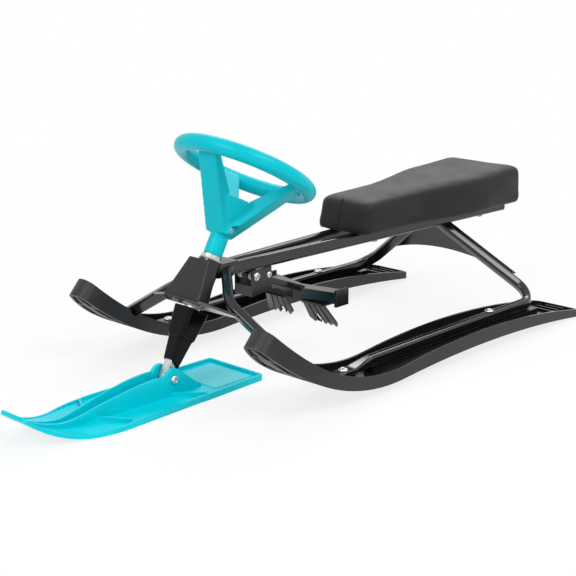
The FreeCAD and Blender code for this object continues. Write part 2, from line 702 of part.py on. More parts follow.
SOLE_CENTRE, SOLE_ARCH = arch_through(CURVE_HUB, size("ski_tip_radius"), size("ski_camber"), 0)
WALL_CENTRE, WALL_ARCH = arch_through(
    WALL_HUB, size("ski_rim_radius"), size("ski_crown"), size("ski_tail_height")
)


def sole_edges(height):
    """Edges of a line that runs a given height above the sole."""
    return runner_edges(CURVE_HUB, size("ski_tip_radius") - height, SOLE_CENTRE, SOLE_ARCH + height)


def runner_band(low, high):
    """A slab across the ski from a height above its sole to a height, the wall's top or open air."""
    lower, tip, tail = sole_edges(low)
    if high == "wall":
        upper, tip_top, tail_top = runner_edges(WALL_HUB, size("ski_rim_radius"), WALL_CENTRE, WALL_ARCH)
    elif high is None:
        tip_top, tail_top = Vector(tip.x, 0, REACH), Vector(tail.x, 0, REACH)
        upper = [Part.LineSegment(tip_top, tail_top).toShape()]
    else:
        upper, tip_top, tail_top = sole_edges(high)
    ends = [Part.LineSegment(tail, tail_top).toShape(), Part.LineSegment(tip_top, tip).toShape()]
    face = Part.Face(Part.Wire(Part.__sortEdges__(lower + upper + ends)))
    half = size("ski_half_width") + 5
    slab = face.extrude(LEFT * (2 * half))
    slab.translate(Vector(0, size("ski_track") - half, 0))
    return slab


def nose_arcs(start, end, half, radius):
    """The ski's nose in plan: a side arc, a round nose and a side arc, all tangent."""
    reach = end - start - radius
    side = (reach ** 2 + half ** 2 - radius ** 2) / (2 * (half - radius))
    lean = math.asin(reach / (side - radius))

    def on_side(angle, hand):
        x = start + side * math.sin(angle)
        return Vector(x, hand * (half - side + side * math.cos(angle)), 0)

    edges = []
    for hand in (1, -1):
        edges.append(Part.Arc(on_side(0, hand), on_side(lean / 2, hand), on_side(lean, hand)).toShape())
    edges.append(Part.Arc(on_side(lean, 1), Vector(end, 0, 0), on_side(lean, -1)).toShape())
    return edges


def ski_plan(inset):
    """The ski's outline in plan, drawn in by an inset, on its own centre line."""
    half = size("ski_half_width") - inset
    nose = nose_arcs(size("ski_nose_start"), size("ski_tip_x") - inset, half, size("ski_nose_radius") - inset)
    start, tail = size("ski_nose_start"), size("ski_tail_x") + inset
    corners = [Vector(start, half, 0), Vector(tail, half, 0), Vector(tail, -half, 0), Vector(start, -half, 0)]
    radius = size("ski_tail_radius") - inset
    return Part.Wire(Part.__sortEdges__(nose + open_route(corners, [radius, radius]).Edges))


TIP_Z = on_curve(size("ski_tip_x"), 0)
SPLIT_X = (size("ski_nose_start") + size("ski_tail_start")) / 2


def leaning_column(wire, lean, height, split_x, front):
    """A plan outline drawn upwards along a line that leans back, kept on one side of a split."""
    slope = Vector(-math.tan(math.radians(lean)), 0, 1)
    base = Part.Face(wire)
    base.translate(Vector(0, 0, height) - slope * REACH / 2)
    column = base.extrude(slope * REACH)
    low = Vector(split_x if front else -2 * REACH, -REACH, -REACH)
    high = Vector(2 * REACH if front else split_x, REACH, REACH)
    return column.common(block(low, high))


def ski_column(inset):
    """All that stands over the ski's outline: upright walls, and a nose that leans back."""
    wire = ski_plan(inset)
    front = leaning_column(wire, size("ski_nose_lean"), TIP_Z, SPLIT_X, True)
    rear = leaning_column(wire, 0, 0, SPLIT_X, False)
    whole = front.fuse(rear).removeSplitter()
    whole.translate(Vector(0, size("ski_track"), 0))
    return whole


def nose_keel():
    """The lens shaped keel in the nose's recess, as a leaning column."""
    start, end = size("ski_nose_start"), size("ski_tip_x") - size("ski_recess_margin") * 0.4
    middle = (start + end) / 2
    half = size("ski_keel_half_width")
    sides = []
    for hand in (1, -1):
        sides.append(Part.Arc(Vector(start, 0, 0), Vector(middle, hand * half, 0), Vector(end, 0, 0)).toShape())
    keel = leaning_column(
        Part.Wire(Part.__sortEdges__(sides)), size("ski_nose_lean"), TIP_Z, size("ski_contact_x"), True
    )
    keel.translate(Vector(0, size("ski_track"), 0))
    return keel


def nose_recess():
    """The hollow under the nose, on both sides of the keel, crossed by ribs."""
    recess = runner_band(-1, size("ski_recess_depth")).common(ski_column(size("ski_recess_margin")))
    window = block(
        Vector(size("ski_nose_start") + 20, 0, -1), Vector(size("ski_tip_x") + 60, REACH, REACH)
    )
    recess = recess.common(window).cut(nose_keel())
    ribs = 3
    for index in range(ribs):
        x = size("ski_tip_x") - 30 - 42 * index
        recess = recess.cut(block(Vector(x, 0, -REACH), Vector(x + 3, REACH, REACH)))
    return recess


def ski_plinth():
    """The plinth that carries the tube, its flattened end and the foot plate."""
    track, half = size("ski_track"), size("plinth_half_width")
    above = runner_band(size("ski_floor") / 2, None)
    below = runner_band(size("ski_floor") / 2, size("foot_seat"))
    flat_end = size("ski_tube_front_x") + size("flat_length") + 2
    rear = block(
        Vector(size("plinth_rear_x"), track - half, 0), Vector(size("ski_tube_front_x"), track + half, TUBE_SEAT)
    )
    flat = block(
        Vector(size("ski_tube_front_x") + size("flat_taper"), track - half, 0),
        Vector(flat_end, track + half, FLAT_BASE),
    )
    front = block(
        Vector(size("ski_tube_front_x") + size("flat_taper"), track - half, 0),
        Vector(size("foot_plate_front_x") + 4, track + half, REACH),
    )
    step = block(Vector(-REACH, 0, FLAT_BASE), Vector(flat_end, REACH, REACH))
    return rear.fuse(flat).common(above).fuse(front.common(below).cut(step))


def floor_ribs():
    """Two long ribs beside the plinth and short cross ribs towards the tail."""
    track = size("ski_track")
    band = runner_band(size("ski_floor") / 2, size("ski_floor") + size("rib_height"))
    pieces = []
    for hand in (-1, 1):
        y = track + hand * size("rib_offset") - size("rib_width") / 2
        pieces.append(
            block(
                Vector(size("ski_tail_start") - 40, y, 0),
                Vector(size("ski_contact_x") + 90, y + size("rib_width"), REACH),
            )
        )
    cross_ribs = 4
    for index in range(cross_ribs):
        x = size("ski_tail_start") - 36 - 22 * index
        pieces.append(block(Vector(x, track - 26 + 3 * index, 0), Vector(x + 3, track + 26 - 3 * index, REACH)))
    return pieces[0].fuse(pieces[1:]).common(band)


def sole_z(x):
    """Height of the ski's sole at a place along it."""
    if x > size("ski_contact_x"):
        return on_curve(x, 0)
    return SOLE_CENTRE.z + math.sqrt(SOLE_ARCH ** 2 - (x - SOLE_CENTRE.x) ** 2)


def nut_base(x):
    """Lower face of an upright nut let into the sole, a little shy of the snow."""
    return max(sole_z(x - size("ski_nut_radius")), sole_z(x + size("ski_nut_radius"))) + NUT_SHY


def ski_bolt_lines():
    """Each ski bolt's seat, the way it points up, and its grip from the seat to the nut's lower face."""
    lines = []
    for x, top in ((size("tube_bolt_x"), TUBE_CROWN), (size("flat_bolt_x"), FLAT_BASE + size("flat_thickness"))):
        lines.append((Vector(x, size("ski_track"), top), UP, top - nut_base(x)))
    grip = FOOT_TOP + HEAD_ROOM - NUT_SHY
    lines.append((FOOT_SOLE + FOOT_UPRIGHT * (FOOT_TOP + HEAD_ROOM), FOOT_UPRIGHT, grip))
    return lines


def rear_ski():
    """A moulded tray: floor and walls, plinth, ribs, a recessed nose and bolt holes."""
    tray = runner_band(0, "wall").common(ski_column(0))
    hollow = runner_band(size("ski_floor"), None).common(ski_column(size("ski_wall")))
    tray = tray.cut(hollow).fuse([ski_plinth(), floor_ribs().common(ski_column(1))])
    tray = tray.cut(nose_recess())
    knee = Vector(size("knee_x"), size("knee_y"), size("knee_z"))
    leg_line = (knee - FOOT_POINT).normalize()
    tray = tray.cut(rod(FOOT_POINT + leg_line * size("tube_width"), leg_line, LEG_ROOM, 3 * size("tube_height")))
    for seat, upright, grip in ski_bolt_lines():
        below = 10 * NUT_SHY
        start = seat - upright * (grip + below)
        tray = tray.cut(rod(start, upright, size("ski_bolt_radius") + size("running_gap"), grip + below))
        pocket_depth = below + size("ski_nut_height") + size("running_gap")
        tray = tray.cut(rod(start, upright, size("ski_nut_radius") + 0.4, pocket_depth))
    return tray.removeSplitter()


left_ski = solid_node("left_rear_ski", rear_ski())
mirrored_node("right_rear_ski", left_ski)


def ski_fasteners():
    """Three bolts down through each ski, and the nuts let into its sole."""
    bolts, nuts = [], []
    for seat, upright, grip in ski_bolt_lines():
        bolts.append(
            domed_bolt(
                seat, -upright, size("ski_bolt_radius"), grip, size("ski_head_radius"), size("ski_head_height")
            )
        )
        nuts.append(
            hexagon_nut(
                seat - upright * grip, upright, size("ski_bolt_radius") + size("running_gap"),
                size("ski_nut_radius"), size("ski_nut_height"),
            )
        )
    return bolts, nuts


ski_bolts, ski_nuts = ski_fasteners()
solid_node("ski_bolts", Part.makeCompound(ski_bolts + [flip(item) for item in ski_bolts]))
solid_node("ski_nuts", Part.makeCompound(ski_nuts + [flip(item) for item in ski_nuts]))

# Head tube, bushes, cross plate and neck box

head_tube = node(
    "head_tube",
    turned(
        "head_tube_body",
        [
            ("Sizes.head_bore", "0"),
            ("Sizes.head_radius", "0"),
            ("Sizes.head_radius", "Sizes.head_length"),
            ("Sizes.head_bore", "Sizes.head_length"),
        ],
    ),
)
on_column(head_tube, "Sizes.head_base")

BUSH_BORE = "(Sizes.shaft_radius + Sizes.running_gap)"
upper_bush = node(
    "upper_bush",
    turned(
        "upper_bush_body",
        [
            (BUSH_BORE, "-Sizes.bush_length"),
            ("Sizes.head_bore", "-Sizes.bush_length"),
            ("Sizes.head_bore", "0"),
            ("Sizes.bush_flange_radius", "0"),
            ("Sizes.bush_flange_radius", "Sizes.bush_flange"),
            (BUSH_BORE, "Sizes.bush_flange"),
        ],
    ),
)
on_column(upper_bush, "Sizes.head_base + Sizes.head_length")
lower_bush = node(
    "lower_bush",
    turned(
        "lower_bush_body",
        [
            (BUSH_BORE, "Sizes.bush_length"),
            ("Sizes.head_bore", "Sizes.bush_length"),
            ("Sizes.head_bore", "-Sizes.cross_thickness"),
            ("Sizes.bush_flange_radius", "-Sizes.cross_thickness"),
            ("Sizes.bush_flange_radius", "-Sizes.cross_thickness - Sizes.bush_flange"),
            (BUSH_BORE, "-Sizes.cross_thickness - Sizes.bush_flange"),
        ],
    ),
)
on_column(lower_bush, "Sizes.head_base")


def cross_plate_body():
    """A flat plate across the foot of the head tube, with a wing to each front leg."""
    body = new_body("cross_plate_body")
    corners = [
        ("Sizes.fairing_base_front", "Sizes.fairing_base_half"),
        ("Sizes.cross_shift + Sizes.cross_tip", "Sizes.cross_reach"),
        ("Sizes.cross_shift - Sizes.cross_tip", "Sizes.cross_reach"),
        ("-Sizes.cross_root", "Sizes.cross_root"),
        ("-Sizes.cross_root", "-Sizes.cross_root"),
        ("Sizes.cross_shift - Sizes.cross_tip", "-Sizes.cross_reach"),
        ("Sizes.cross_shift + Sizes.cross_tip", "-Sizes.cross_reach"),
        ("Sizes.fairing_base_front", "-Sizes.fairing_base_half"),
    ]
    pad(body, polygon_sketch(body, "cross_plate_outline", "XY_Plane", corners), "cross_plate_pad",
        "Sizes.cross_thickness")
    hole = circle_sketch(body, "cross_plate_hole", "XY_Plane", "0", "0", "Sizes.head_bore")
    pocket = body.newObject("PartDesign::Pocket", "cross_plate_bore")
    pocket.Profile = hole
    pocket.Type = 1
    pocket.Midplane = True
    return on_column(body, "Sizes.head_base - Sizes.cross_thickness")


def cut_node(name, base, tools):
    """A sub-part cut clear of its neighbours' outside."""
    keep = doc.addObject("Part::Feature", name + "_clearance")
    keep.Shape = Part.makeCompound(tools)
    item = doc.addObject("Part::Cut", name)
    item.Base = base
    item.Tool = keep
    return node(name, item)


cross_plate = cross_plate_body()
doc.recompute()
FAIRING_SCREWS = []
for hand in (1, -1):
    place = column_placement(size("head_base"))
    FAIRING_SCREWS.append(place.multVec(Vector(size("fairing_screw_x"), hand * size("fairing_screw_y"), 0)))
COLUMN_UP = column_placement().Rotation.multVec(UP)
SCREW_RADIUS = 2.0
screw_holes = []
for place in FAIRING_SCREWS:
    screw_holes.append(rod(place - COLUMN_UP * 20, COLUMN_UP, SCREW_RADIUS + size("running_gap"), 40))
cut_node("front_cross_plate", cross_plate, [RAIL_OUTER, flip(RAIL_OUTER)] + screw_holes)


def neck_box():
    """A welded box that wraps the two front bends and meets the head tube."""
    half = RAIL_FRONT_Y + size("tube_width") / 2
    head_axis = column_placement(size("head_base"))
    middle = column_placement(size("head_base") + size("head_length") * 0.82).Base
    shape = block(
        Vector(size("neck_rear_x"), -half, RAIL_BOTTOM + 1), Vector(middle.x, half, RAIL_TOP + size("neck_skin"))
    )
    head = rod(head_axis.Base - COLUMN_UP * 50, COLUMN_UP, size("head_radius"), size("head_length") + 100)
    front = block(Vector(middle.x - 6, -REACH, -REACH), Vector(REACH, REACH, REACH))
    shape = shape.cut(Part.makeCompound([RAIL_OUTER, flip(RAIL_OUTER)])).cut(head)
    kept = [solid for solid in shape.Solids if solid.Volume > 200]
    whole = kept[0] if len(kept) == 1 else Part.makeCompound(kept)
    ahead_of_axis = whole.common(front)
    return whole.cut(ahead_of_axis) if ahead_of_axis.Volume > 1 else whole


solid_node("neck_box", neck_box())

# Steering shaft, yoke, sleeve, washers

steering_shaft = node(
    "steering_shaft",
    turned(
        "steering_shaft_body",
        [
            ("Sizes.shaft_radius - Sizes.shaft_wall", "Sizes.shaft_base"),
            ("Sizes.shaft_radius", "Sizes.shaft_base"),
            ("Sizes.shaft_radius", "Sizes.shaft_top"),
            ("Sizes.shaft_radius - Sizes.shaft_wall", "Sizes.shaft_top"),
        ],
    ),
)


def steering_yoke():
    """A block round the pivot sleeve, with a stem that plugs the shaft."""
    half_depth, half = size("yoke_depth") / 2, size("yoke_width") / 2
    shape = block(Vector(-half_depth, -half, 0), Vector(half_depth, half, size("shaft_base")))
    shape = shape.fuse(rod(Vector(0, -half, 0), LEFT, half_depth, 2 * half))
    stem = size("shaft_radius") - size("shaft_wall") - size("running_gap")
    shape = shape.fuse(rod(Vector(0, 0, size("shaft_base") - 1), UP, stem, size("yoke_stem") + 1))
    bore = rod(Vector(0, -half - 1, 0), LEFT, size("sleeve_radius") + size("running_gap"), 2 * half + 2)
    return shape.cut(bore).removeSplitter()


solid_node("steering_yoke", steering_yoke(), column_placement())


def pivot_sleeve():
    """The sleeve in the yoke that turns on the pivot bolt."""
    half = size("sleeve_length") / 2
    outer = rod(Vector(0, -half, 0), LEFT, size("sleeve_radius"), 2 * half)
    return outer.cut(rod(Vector(0, -half - 1, 0), LEFT, size("pivot_bolt_radius") + size("running_gap"), 2 * half + 2))


solid_node("pivot_sleeve", pivot_sleeve(), column_placement())

WASHER_BASE = "(Sizes.head_base + Sizes.head_length + Sizes.bush_flange + Sizes.thrust_gap)"
WHEEL_BASE = WASHER_BASE + " + 2 * Sizes.washer_thickness"
for index, name in enumerate(("lower_thrust_washer", "upper_thrust_washer")):
    washer = node(
        name,
        turned(
            name + "_body",
            [
                ("Sizes.shaft_radius + Sizes.running_gap", "0"),
                ("Sizes.washer_radius - %d" % index, "0"),
                ("Sizes.washer_radius - %d" % index, "Sizes.washer_thickness"),
                ("Sizes.shaft_radius + Sizes.running_gap", "Sizes.washer_thickness"),
            ],
        ),
    )
    on_column(washer, WASHER_BASE + " + %d * Sizes.washer_thickness" % index)

# Steering cover


def octagon(half, chamfer, height):
    """A square with cut corners at a height on the axis."""
    points = []
    for x, y in ((1, 1), (-1, 1), (-1, -1), (1, -1)):
        long_x = Vector(x * half, y * (half - chamfer), height)
        long_y = Vector(x * (half - chamfer), y * half, height)
        points += [long_x, long_y] if x * y > 0 else [long_y, long_x]
    return Part.makePolygon(points + points[:1])


def cover_solid(shrink):
    """The cover's tapered outside, drawn in by a wall, in two lofts that meet at a stepped shoulder."""
    share = 0.28
    base, shoulder, top = (size("cover_" + name) for name in ("base_half", "shoulder_half", "top_half"))
    below = shoulder - size("cover_step")
    lower = Part.makeLoft(
        [
            octagon(base - shrink, base * share, size("cover_base")),
            octagon(below - shrink, below * share, size("cover_shoulder")),
        ],
        True, True,
    )
    upper = Part.makeLoft(
        [
            octagon(shoulder - shrink, shoulder * share, size("cover_shoulder")),
            octagon(size("cover_top_half") - shrink, top * share, size("cover_top")),
        ],
        True, True,
    )
    return lower.fuse(upper)


def steering_cover():
    """A hollow tapered boot round the shaft, held on it by an inner web."""
    shell = cover_solid(0).cut(cover_solid(size("cover_wall")))
    web = cover_solid(size("cover_wall") / 2).common(
        block(
            Vector(-REACH, -REACH, size("cover_shoulder") + 6),
            Vector(REACH, REACH, size("cover_shoulder") + 6 + size("cover_web")),
        )
    )
    bore = rod(Vector(0, 0, 0), UP, size("shaft_radius") + size("running_gap"), size("cover_top"))
    yoke_room = block(
        Vector(-size("yoke_depth") / 2 - 0.3, -size("yoke_width") / 2 - 0.3, 0),
        Vector(size("yoke_depth") / 2 + 0.3, size("yoke_width") / 2 + 0.3, size("shaft_base")),
    )
    low, rise, reach = size("cover_base"), size("cover_slant"), size("cover_base_half")
    corners = [
        Vector(-reach, -REACH, low), Vector(reach, -REACH, low + rise), Vector(4 * reach, -REACH, low + rise),
        Vector(4 * reach, -REACH, low - 1), Vector(-reach, -REACH, low - 1),
    ]
    slant = Part.Face(Part.makePolygon(corners + corners[:1])).extrude(LEFT * 2 * REACH)
    return shell.fuse(web.cut(bore)).cut(yoke_room).cut(slant).removeSplitter()


solid_node("steering_cover", steering_cover(), column_placement())

# Fairing over the head tube


def fairing_shield(shrink, open_back):
    """The shield's tapered outside; the open back reaches far behind."""
    back = REACH / 10 if open_back else 0

    def ring(front, cheek, half, height):
        low, high = cheek - back, front - shrink
        points = [
            Vector(low, half - shrink, height), Vector(low, shrink - half, height),
            Vector(high, shrink - half, height), Vector(high, half - shrink, height),
        ]
        return Part.makePolygon(points + points[:1])

    top = ring(size("fairing_top_front"), size("fairing_cheek_top"), size("fairing_top_half"), size("fairing_top"))
    base = ring(
        size("fairing_base_front"), size("fairing_cheek_base"), size("fairing_base_half"), size("fairing_base")
    )
    return Part.makeLoft([base, top], True, True)


def fairing():
    """A shield with two cheeks and a brim that is screwed to the cross plate."""
    shield = fairing_shield(0, False)
    shell = shield.makeFillet(3.0, [edge for edge in shield.Edges if edge.Vertexes[0].Z != edge.Vertexes[1].Z])
    shell = shell.cut(fairing_shield(size("fairing_wall"), True))
    out = size("fairing_brim_out")
    front, half = size("fairing_base_front") + out, size("fairing_base_half") + out
    base = size("head_base")
    brim = closed_outline(
        [
            Vector(-size("cross_root"), -half * 0.7, base), Vector(front, -half, base),
            Vector(front, half, base), Vector(-size("cross_root"), half * 0.7, base),
        ],
        [4, 6, 6, 4],
    )
    brim = Part.Face(brim).extrude(UP * size("fairing_brim"))
    whole = shell.fuse(brim)
    whole = whole.cut(rod(Vector(0, 0, 0), UP, size("head_radius") + size("soft_gap"), REACH))
    for hand in (1, -1):
        place = Vector(size("fairing_screw_x"), hand * size("fairing_screw_y"), 0)
        whole = whole.cut(rod(place, UP, SCREW_RADIUS + size("running_gap"), size("fairing_base") + 4))
    return whole.removeSplitter()


solid_node("front_fairing", fairing(), column_placement())
screws = []
for place in FAIRING_SCREWS:
    seat = place + COLUMN_UP * size("fairing_brim")
    length = size("fairing_brim") + size("cross_thickness") + 1
    screws.append(domed_bolt(seat, -COLUMN_UP, SCREW_RADIUS, length, 3.6, 2.4))
solid_node("fairing_screws", Part.makeCompound(screws))

# Steering wheel


def steering_wheel():
    """Ring, hub cone and neck turned round the axis; spokes padded and patterned."""
    body = new_body("steering_wheel_body")
    revolve(
        body,
        circle_sketch(body, "ring_section", "XZ_Plane", "Sizes.ring_radius", "Sizes.wheel_height",
                      "Sizes.ring_section"),
        "ring",
    )
    spoke = [
        ("0", "Sizes.neck_height"),
        ("Sizes.neck_radius", "Sizes.neck_height"),
        ("Sizes.ring_radius - Sizes.ring_section", "Sizes.wheel_height - Sizes.ring_section * 0.5"),
        ("Sizes.ring_radius - Sizes.ring_section * 0.4", "Sizes.wheel_height - Sizes.ring_section * 0.4"),
        ("Sizes.ring_radius - Sizes.ring_section * 0.4", "Sizes.wheel_height + Sizes.ring_section * 0.4"),
        ("Sizes.ring_radius - Sizes.ring_section * 1.4", "Sizes.wheel_height + Sizes.ring_section * 0.3"),
        ("Sizes.hub_radius * 0.62", "Sizes.hub_height"),
        ("0", "Sizes.hub_height"),
    ]
    spoke_pad = pad(body, polygon_sketch(body, "spoke_side", "XZ_Plane", spoke), "spoke", "Sizes.spoke_width", True)
    pattern = body.newObject("PartDesign::PolarPattern", "spokes")
    pattern.Originals = [spoke_pad]
    axis = next(item for item in body.Origin.OriginFeatures if item.Role == "Z_Axis")
    pattern.Axis = (axis, [""])
    pattern.Angle = FULL_TURN
    pattern.setExpression("Occurrences", "Sizes.spoke_count")
    body.Tip = pattern
    cone = [
        ("0", "0"),
        ("Sizes.neck_radius", "0"),
        ("Sizes.neck_radius", "Sizes.neck_height"),
        ("Sizes.hub_radius", "Sizes.hub_height - 4"),
        ("Sizes.hub_radius - 4", "Sizes.hub_height"),
        ("0", "Sizes.hub_height - 6"),
    ]
    body.Tip = revolve(body, polygon_sketch(body, "hub_profile", "XZ_Plane", cone), "hub")
    boss = circle_sketch(body, "boss_outline", "XZ_Plane", "0", "Sizes.wheel_bolt_station",
                         "Sizes.wheel_head_radius + 2")
    body.Tip = pad(body, boss, "bolt_boss", "2 * Sizes.wheel_boss", True)
    bore = polygon_sketch(
        body, "shaft_bore_profile", "XZ_Plane",
        [
            ("0", "0"),
            ("Sizes.shaft_radius + Sizes.running_gap", "0"),
            ("Sizes.shaft_radius + Sizes.running_gap", "Sizes.shaft_top - (%s) + 1" % WHEEL_BASE),
            ("0", "Sizes.shaft_top - (%s) + 1" % WHEEL_BASE),
        ],
    )
    body.Tip = revolve(body, bore, "shaft_bore", "PartDesign::Groove")
    hole = circle_sketch(body, "bolt_hole_outline", "XZ_Plane", "0", "Sizes.wheel_bolt_station",
                         "Sizes.wheel_bolt_radius + Sizes.running_gap")
    pocket = body.newObject("PartDesign::Pocket", "bolt_hole")
    pocket.Profile = hole
    pocket.Type = 1
    pocket.Midplane = True
    body.Tip = pocket
    return on_column(body, WHEEL_BASE)


WHEEL_STATION = float(sheet.evalExpression(WHEEL_BASE))
WHEEL_BOLT = column_placement(WHEEL_STATION + size("wheel_bolt_station")).Base
counterbores = []
for hand in (1, -1):
    seat = WHEEL_BOLT + LEFT * (hand * size("wheel_boss"))
    counterbores.append(rod(seat, LEFT * hand, size("wheel_head_radius") + 1, size("hub_radius")))
cut_node("steering_wheel", steering_wheel(), counterbores)
shaft_hole = rod(WHEEL_BOLT - LEFT * 50, LEFT, size("wheel_bolt_radius") + size("running_gap"), 100)
on_column(steering_shaft, "0")
doc.recompute()
NODES.pop("steering_shaft")
cut_node("steering_shaft", steering_shaft, [shaft_hole])
boss_half = size("wheel_boss")
wheel_nut_height = size("wheel_head_height") + 1
solid_node(
    "wheel_bolt",
    domed_bolt(
        WHEEL_BOLT + LEFT * boss_half, -LEFT, size("wheel_bolt_radius"), 2 * boss_half + wheel_nut_height + 1,
        size("wheel_head_radius"), size("wheel_head_height"),
    ),
)
solid_node(
    "wheel_nut",
    hexagon_nut(
        WHEEL_BOLT - LEFT * boss_half, -LEFT, size("wheel_bolt_radius") + size("running_gap"),
        size("wheel_head_radius"), wheel_nut_height,
    ),
)

# Front ski

LUG_INNER = size("sleeve_length") / 2 + size("lug_gap")
LUG_OUTER = LUG_INNER + size("lug_thickness")


def fski_outline():
    """The front ski in plan: straight rear edge, widest ahead of the pivot, drawn in to the tip."""
    half, rear, tip = size("fski_half"), size("fski_rear_half"), size("fski_tip_half")
    left = [
        Vector(size("fski_rear_x"), rear, 0), Vector(size("fski_wide_x"), half, 0), Vector(size("fski_tip_x"), tip, 0)
    ]
    right = [Vector(point.x, -point.y, 0) for point in reversed(left)]
    radii = [size("fski_rear_corner"), size("fski_side_round"), size("fski_tip_corner")]
    return closed_outline(left + right, radii + radii[::-1])


def fski_band(low, high):
    """A slab that follows the front ski's sole between two heights."""
    lift, radius = size("fski_lift_x"), size("fski_tip_radius")
    rear_x = size("fski_rear_x") - 20
    far = math.radians(58)

    def side(height):
        reach = radius - height
        end = Vector(lift + reach * math.sin(far), 0, radius - reach * math.cos(far))
        middle = Vector(lift + reach * math.sin(far / 2), 0, radius - reach * math.cos(far / 2))
        start = Vector(lift, 0, height)
        return [
            Part.LineSegment(Vector(rear_x, 0, height), start).toShape(),
            Part.Arc(start, middle, end).toShape(),
        ], end

    lower, low_end = side(low)
    upper, high_end = side(high)
    ends = [
        Part.LineSegment(low_end, high_end).toShape(),
        Part.LineSegment(Vector(rear_x, 0, low), Vector(rear_x, 0, high)).toShape(),
    ]
    slab = Part.Face(Part.Wire(Part.__sortEdges__(lower + upper + ends))).extrude(LEFT * 400)
    slab.translate(LEFT * -200)
    return slab


def fski_column(inset):
    """All that stands over the front ski's outline, with a tip wall that leans back."""
    wire = fski_outline()
    if inset:
        wire = wire.makeOffset2D(-inset)
    lift, radius = size("fski_lift_x"), size("fski_tip_radius")
    tip_z = radius - math.sqrt(radius ** 2 - (size("fski_tip_x") - lift) ** 2)
    split = (size("fski_rear_x") + size("fski_wide_x")) / 2
    front = leaning_column(wire, size("fski_nose_lean"), tip_z, split, True)
    rear = leaning_column(wire, 0, 0, split, False)
    return front, rear


def fski_layer(low, high, inset):
    """One layer of the front ski over its outline."""
    band = fski_band(low, high)
    front, rear = fski_column(inset)
    return band.common(front).fuse(band.common(rear))


def fski_floor_top(x):
    """Height of the front ski's floor at a place along it."""
    lift, radius, floor = size("fski_lift_x"), size("fski_tip_radius"), size("fski_floor")
    return floor if x <= lift else radius - math.sqrt((radius - floor) ** 2 - (x - lift) ** 2)


def spine():
    """The hollow spine ahead of the lugs: plan and side view taken together."""
    rear_x, front_x, height = size("spine_rear_x"), size("spine_front_x"), size("spine_height")
    middle_x = (rear_x + front_x) / 2

    def plan(shrink, back_x):
        sides = []
        for hand in (1, -1):
            sides.append(
                Part.Arc(
                    Vector(rear_x, hand * (LUG_OUTER - shrink), 0),
                    Vector(middle_x, hand * (LUG_OUTER * 0.72 - shrink), 0),
                    Vector(front_x - 3 * shrink, hand * (size("spine_tip_half") - shrink), 0),
                ).toShape()
            )
        ends = [sides[0].Vertexes[-1].Point, sides[1].Vertexes[-1].Point]
        backs = [sides[0].Vertexes[0].Point, sides[1].Vertexes[0].Point]
        edges = sides + [Part.LineSegment(ends[0], ends[1]).toShape()]
        if back_x < rear_x:
            corners = [Vector(back_x, point.y, 0) for point in backs]
            for point, corner in zip(backs, corners):
                edges.append(Part.LineSegment(point, corner).toShape())
            backs = corners
        edges.append(Part.LineSegment(backs[0], backs[1]).toShape())
        face = Part.Face(Part.Wire(Part.__sortEdges__(edges)))
        return face.extrude(UP * REACH)

    run, end_x = front_x - rear_x, front_x + size("fski_rim") / 2
    points = [Vector(rear_x, 0, height), Vector(rear_x + 0.28 * run, 0, height * 0.92)]
    for share, rise in ((0.58, 0.43), (0.75, 0.21), (0.88, 0.13)):
        x = rear_x + share * run
        points.append(Vector(x, 0, fski_floor_top(x) + rise * height))
    points.append(Vector(end_x, 0, fski_floor_top(end_x) - size("fski_floor") / 10))
    crest = Part.BSplineCurve()
    crest.interpolate(points)
    low_front, low_rear = Vector(end_x, 0, size("fski_floor") / 2), Vector(rear_x, 0, size("fski_floor") / 2)
    foot = [
        Part.LineSegment(points[-1], low_front), Part.LineSegment(low_front, low_rear),
        Part.LineSegment(low_rear, points[0]),
    ]
    side = Part.Face(Part.Wire([item.toShape() for item in [crest] + foot])).extrude(LEFT * 4 * LUG_OUTER)
    side.translate(LEFT * -2 * LUG_OUTER)
    outer = plan(0, rear_x).common(side)
    inner = plan(size("spine_wall"), rear_x - 20)
    return outer, inner


def lug():
    """A lug with a round top, a web that runs down to the rear, and the bolt hole."""
    x, z, radius = size("pivot_x"), size("pivot_z"), size("lug_radius")
    tail = Vector(size("lug_tail_x"), 0, size("fski_floor"))
    span = math.hypot(tail.x - x, tail.z - z)
    turn = math.atan2(tail.z - z, tail.x - x) - math.acos(radius / span)
    touch = Vector(x + radius * math.cos(turn), 0, z + radius * math.sin(turn))
    start = Vector(x + radius, 0, z)
    angle = (turn % (2 * math.pi)) / 2
    crown = Vector(x + radius * math.cos(angle), 0, z + radius * math.sin(angle))
    low_front, low_rear = Vector(x + radius + 4, 0, 2), Vector(tail.x, 0, 2)
    edges = [
        Part.Arc(start, crown, touch), Part.LineSegment(touch, tail), Part.LineSegment(tail, low_rear),
        Part.LineSegment(low_rear, low_front), Part.LineSegment(low_front, start),
    ]
    shape = Part.Face(Part.Wire([item.toShape() for item in edges])).extrude(LEFT * size("lug_thickness"))
    shape.translate(LEFT * LUG_INNER)
    return shape.cut(rod(Vector(x, 0, z), LEFT, size("pivot_bolt_radius") + size("running_gap"), 100))


def deck_rib(start_x, start_y, end_x):
    """A slanted rib on the floor, from the lug or the spine out to the rim."""
    start = Vector(start_x, start_y, 0)
    end = Vector(end_x, size("fski_rear_half") - 1, 0)
    along = (end - start).normalize()
    side = UP.cross(along) * 1.5
    corners = [start + side, end + side, end - side, start - side]
    rib = Part.Face(Part.makePolygon(corners + corners[:1])).extrude(UP * (size("deck_rib") - 2))
    rib.translate(UP * 2)
    return rib


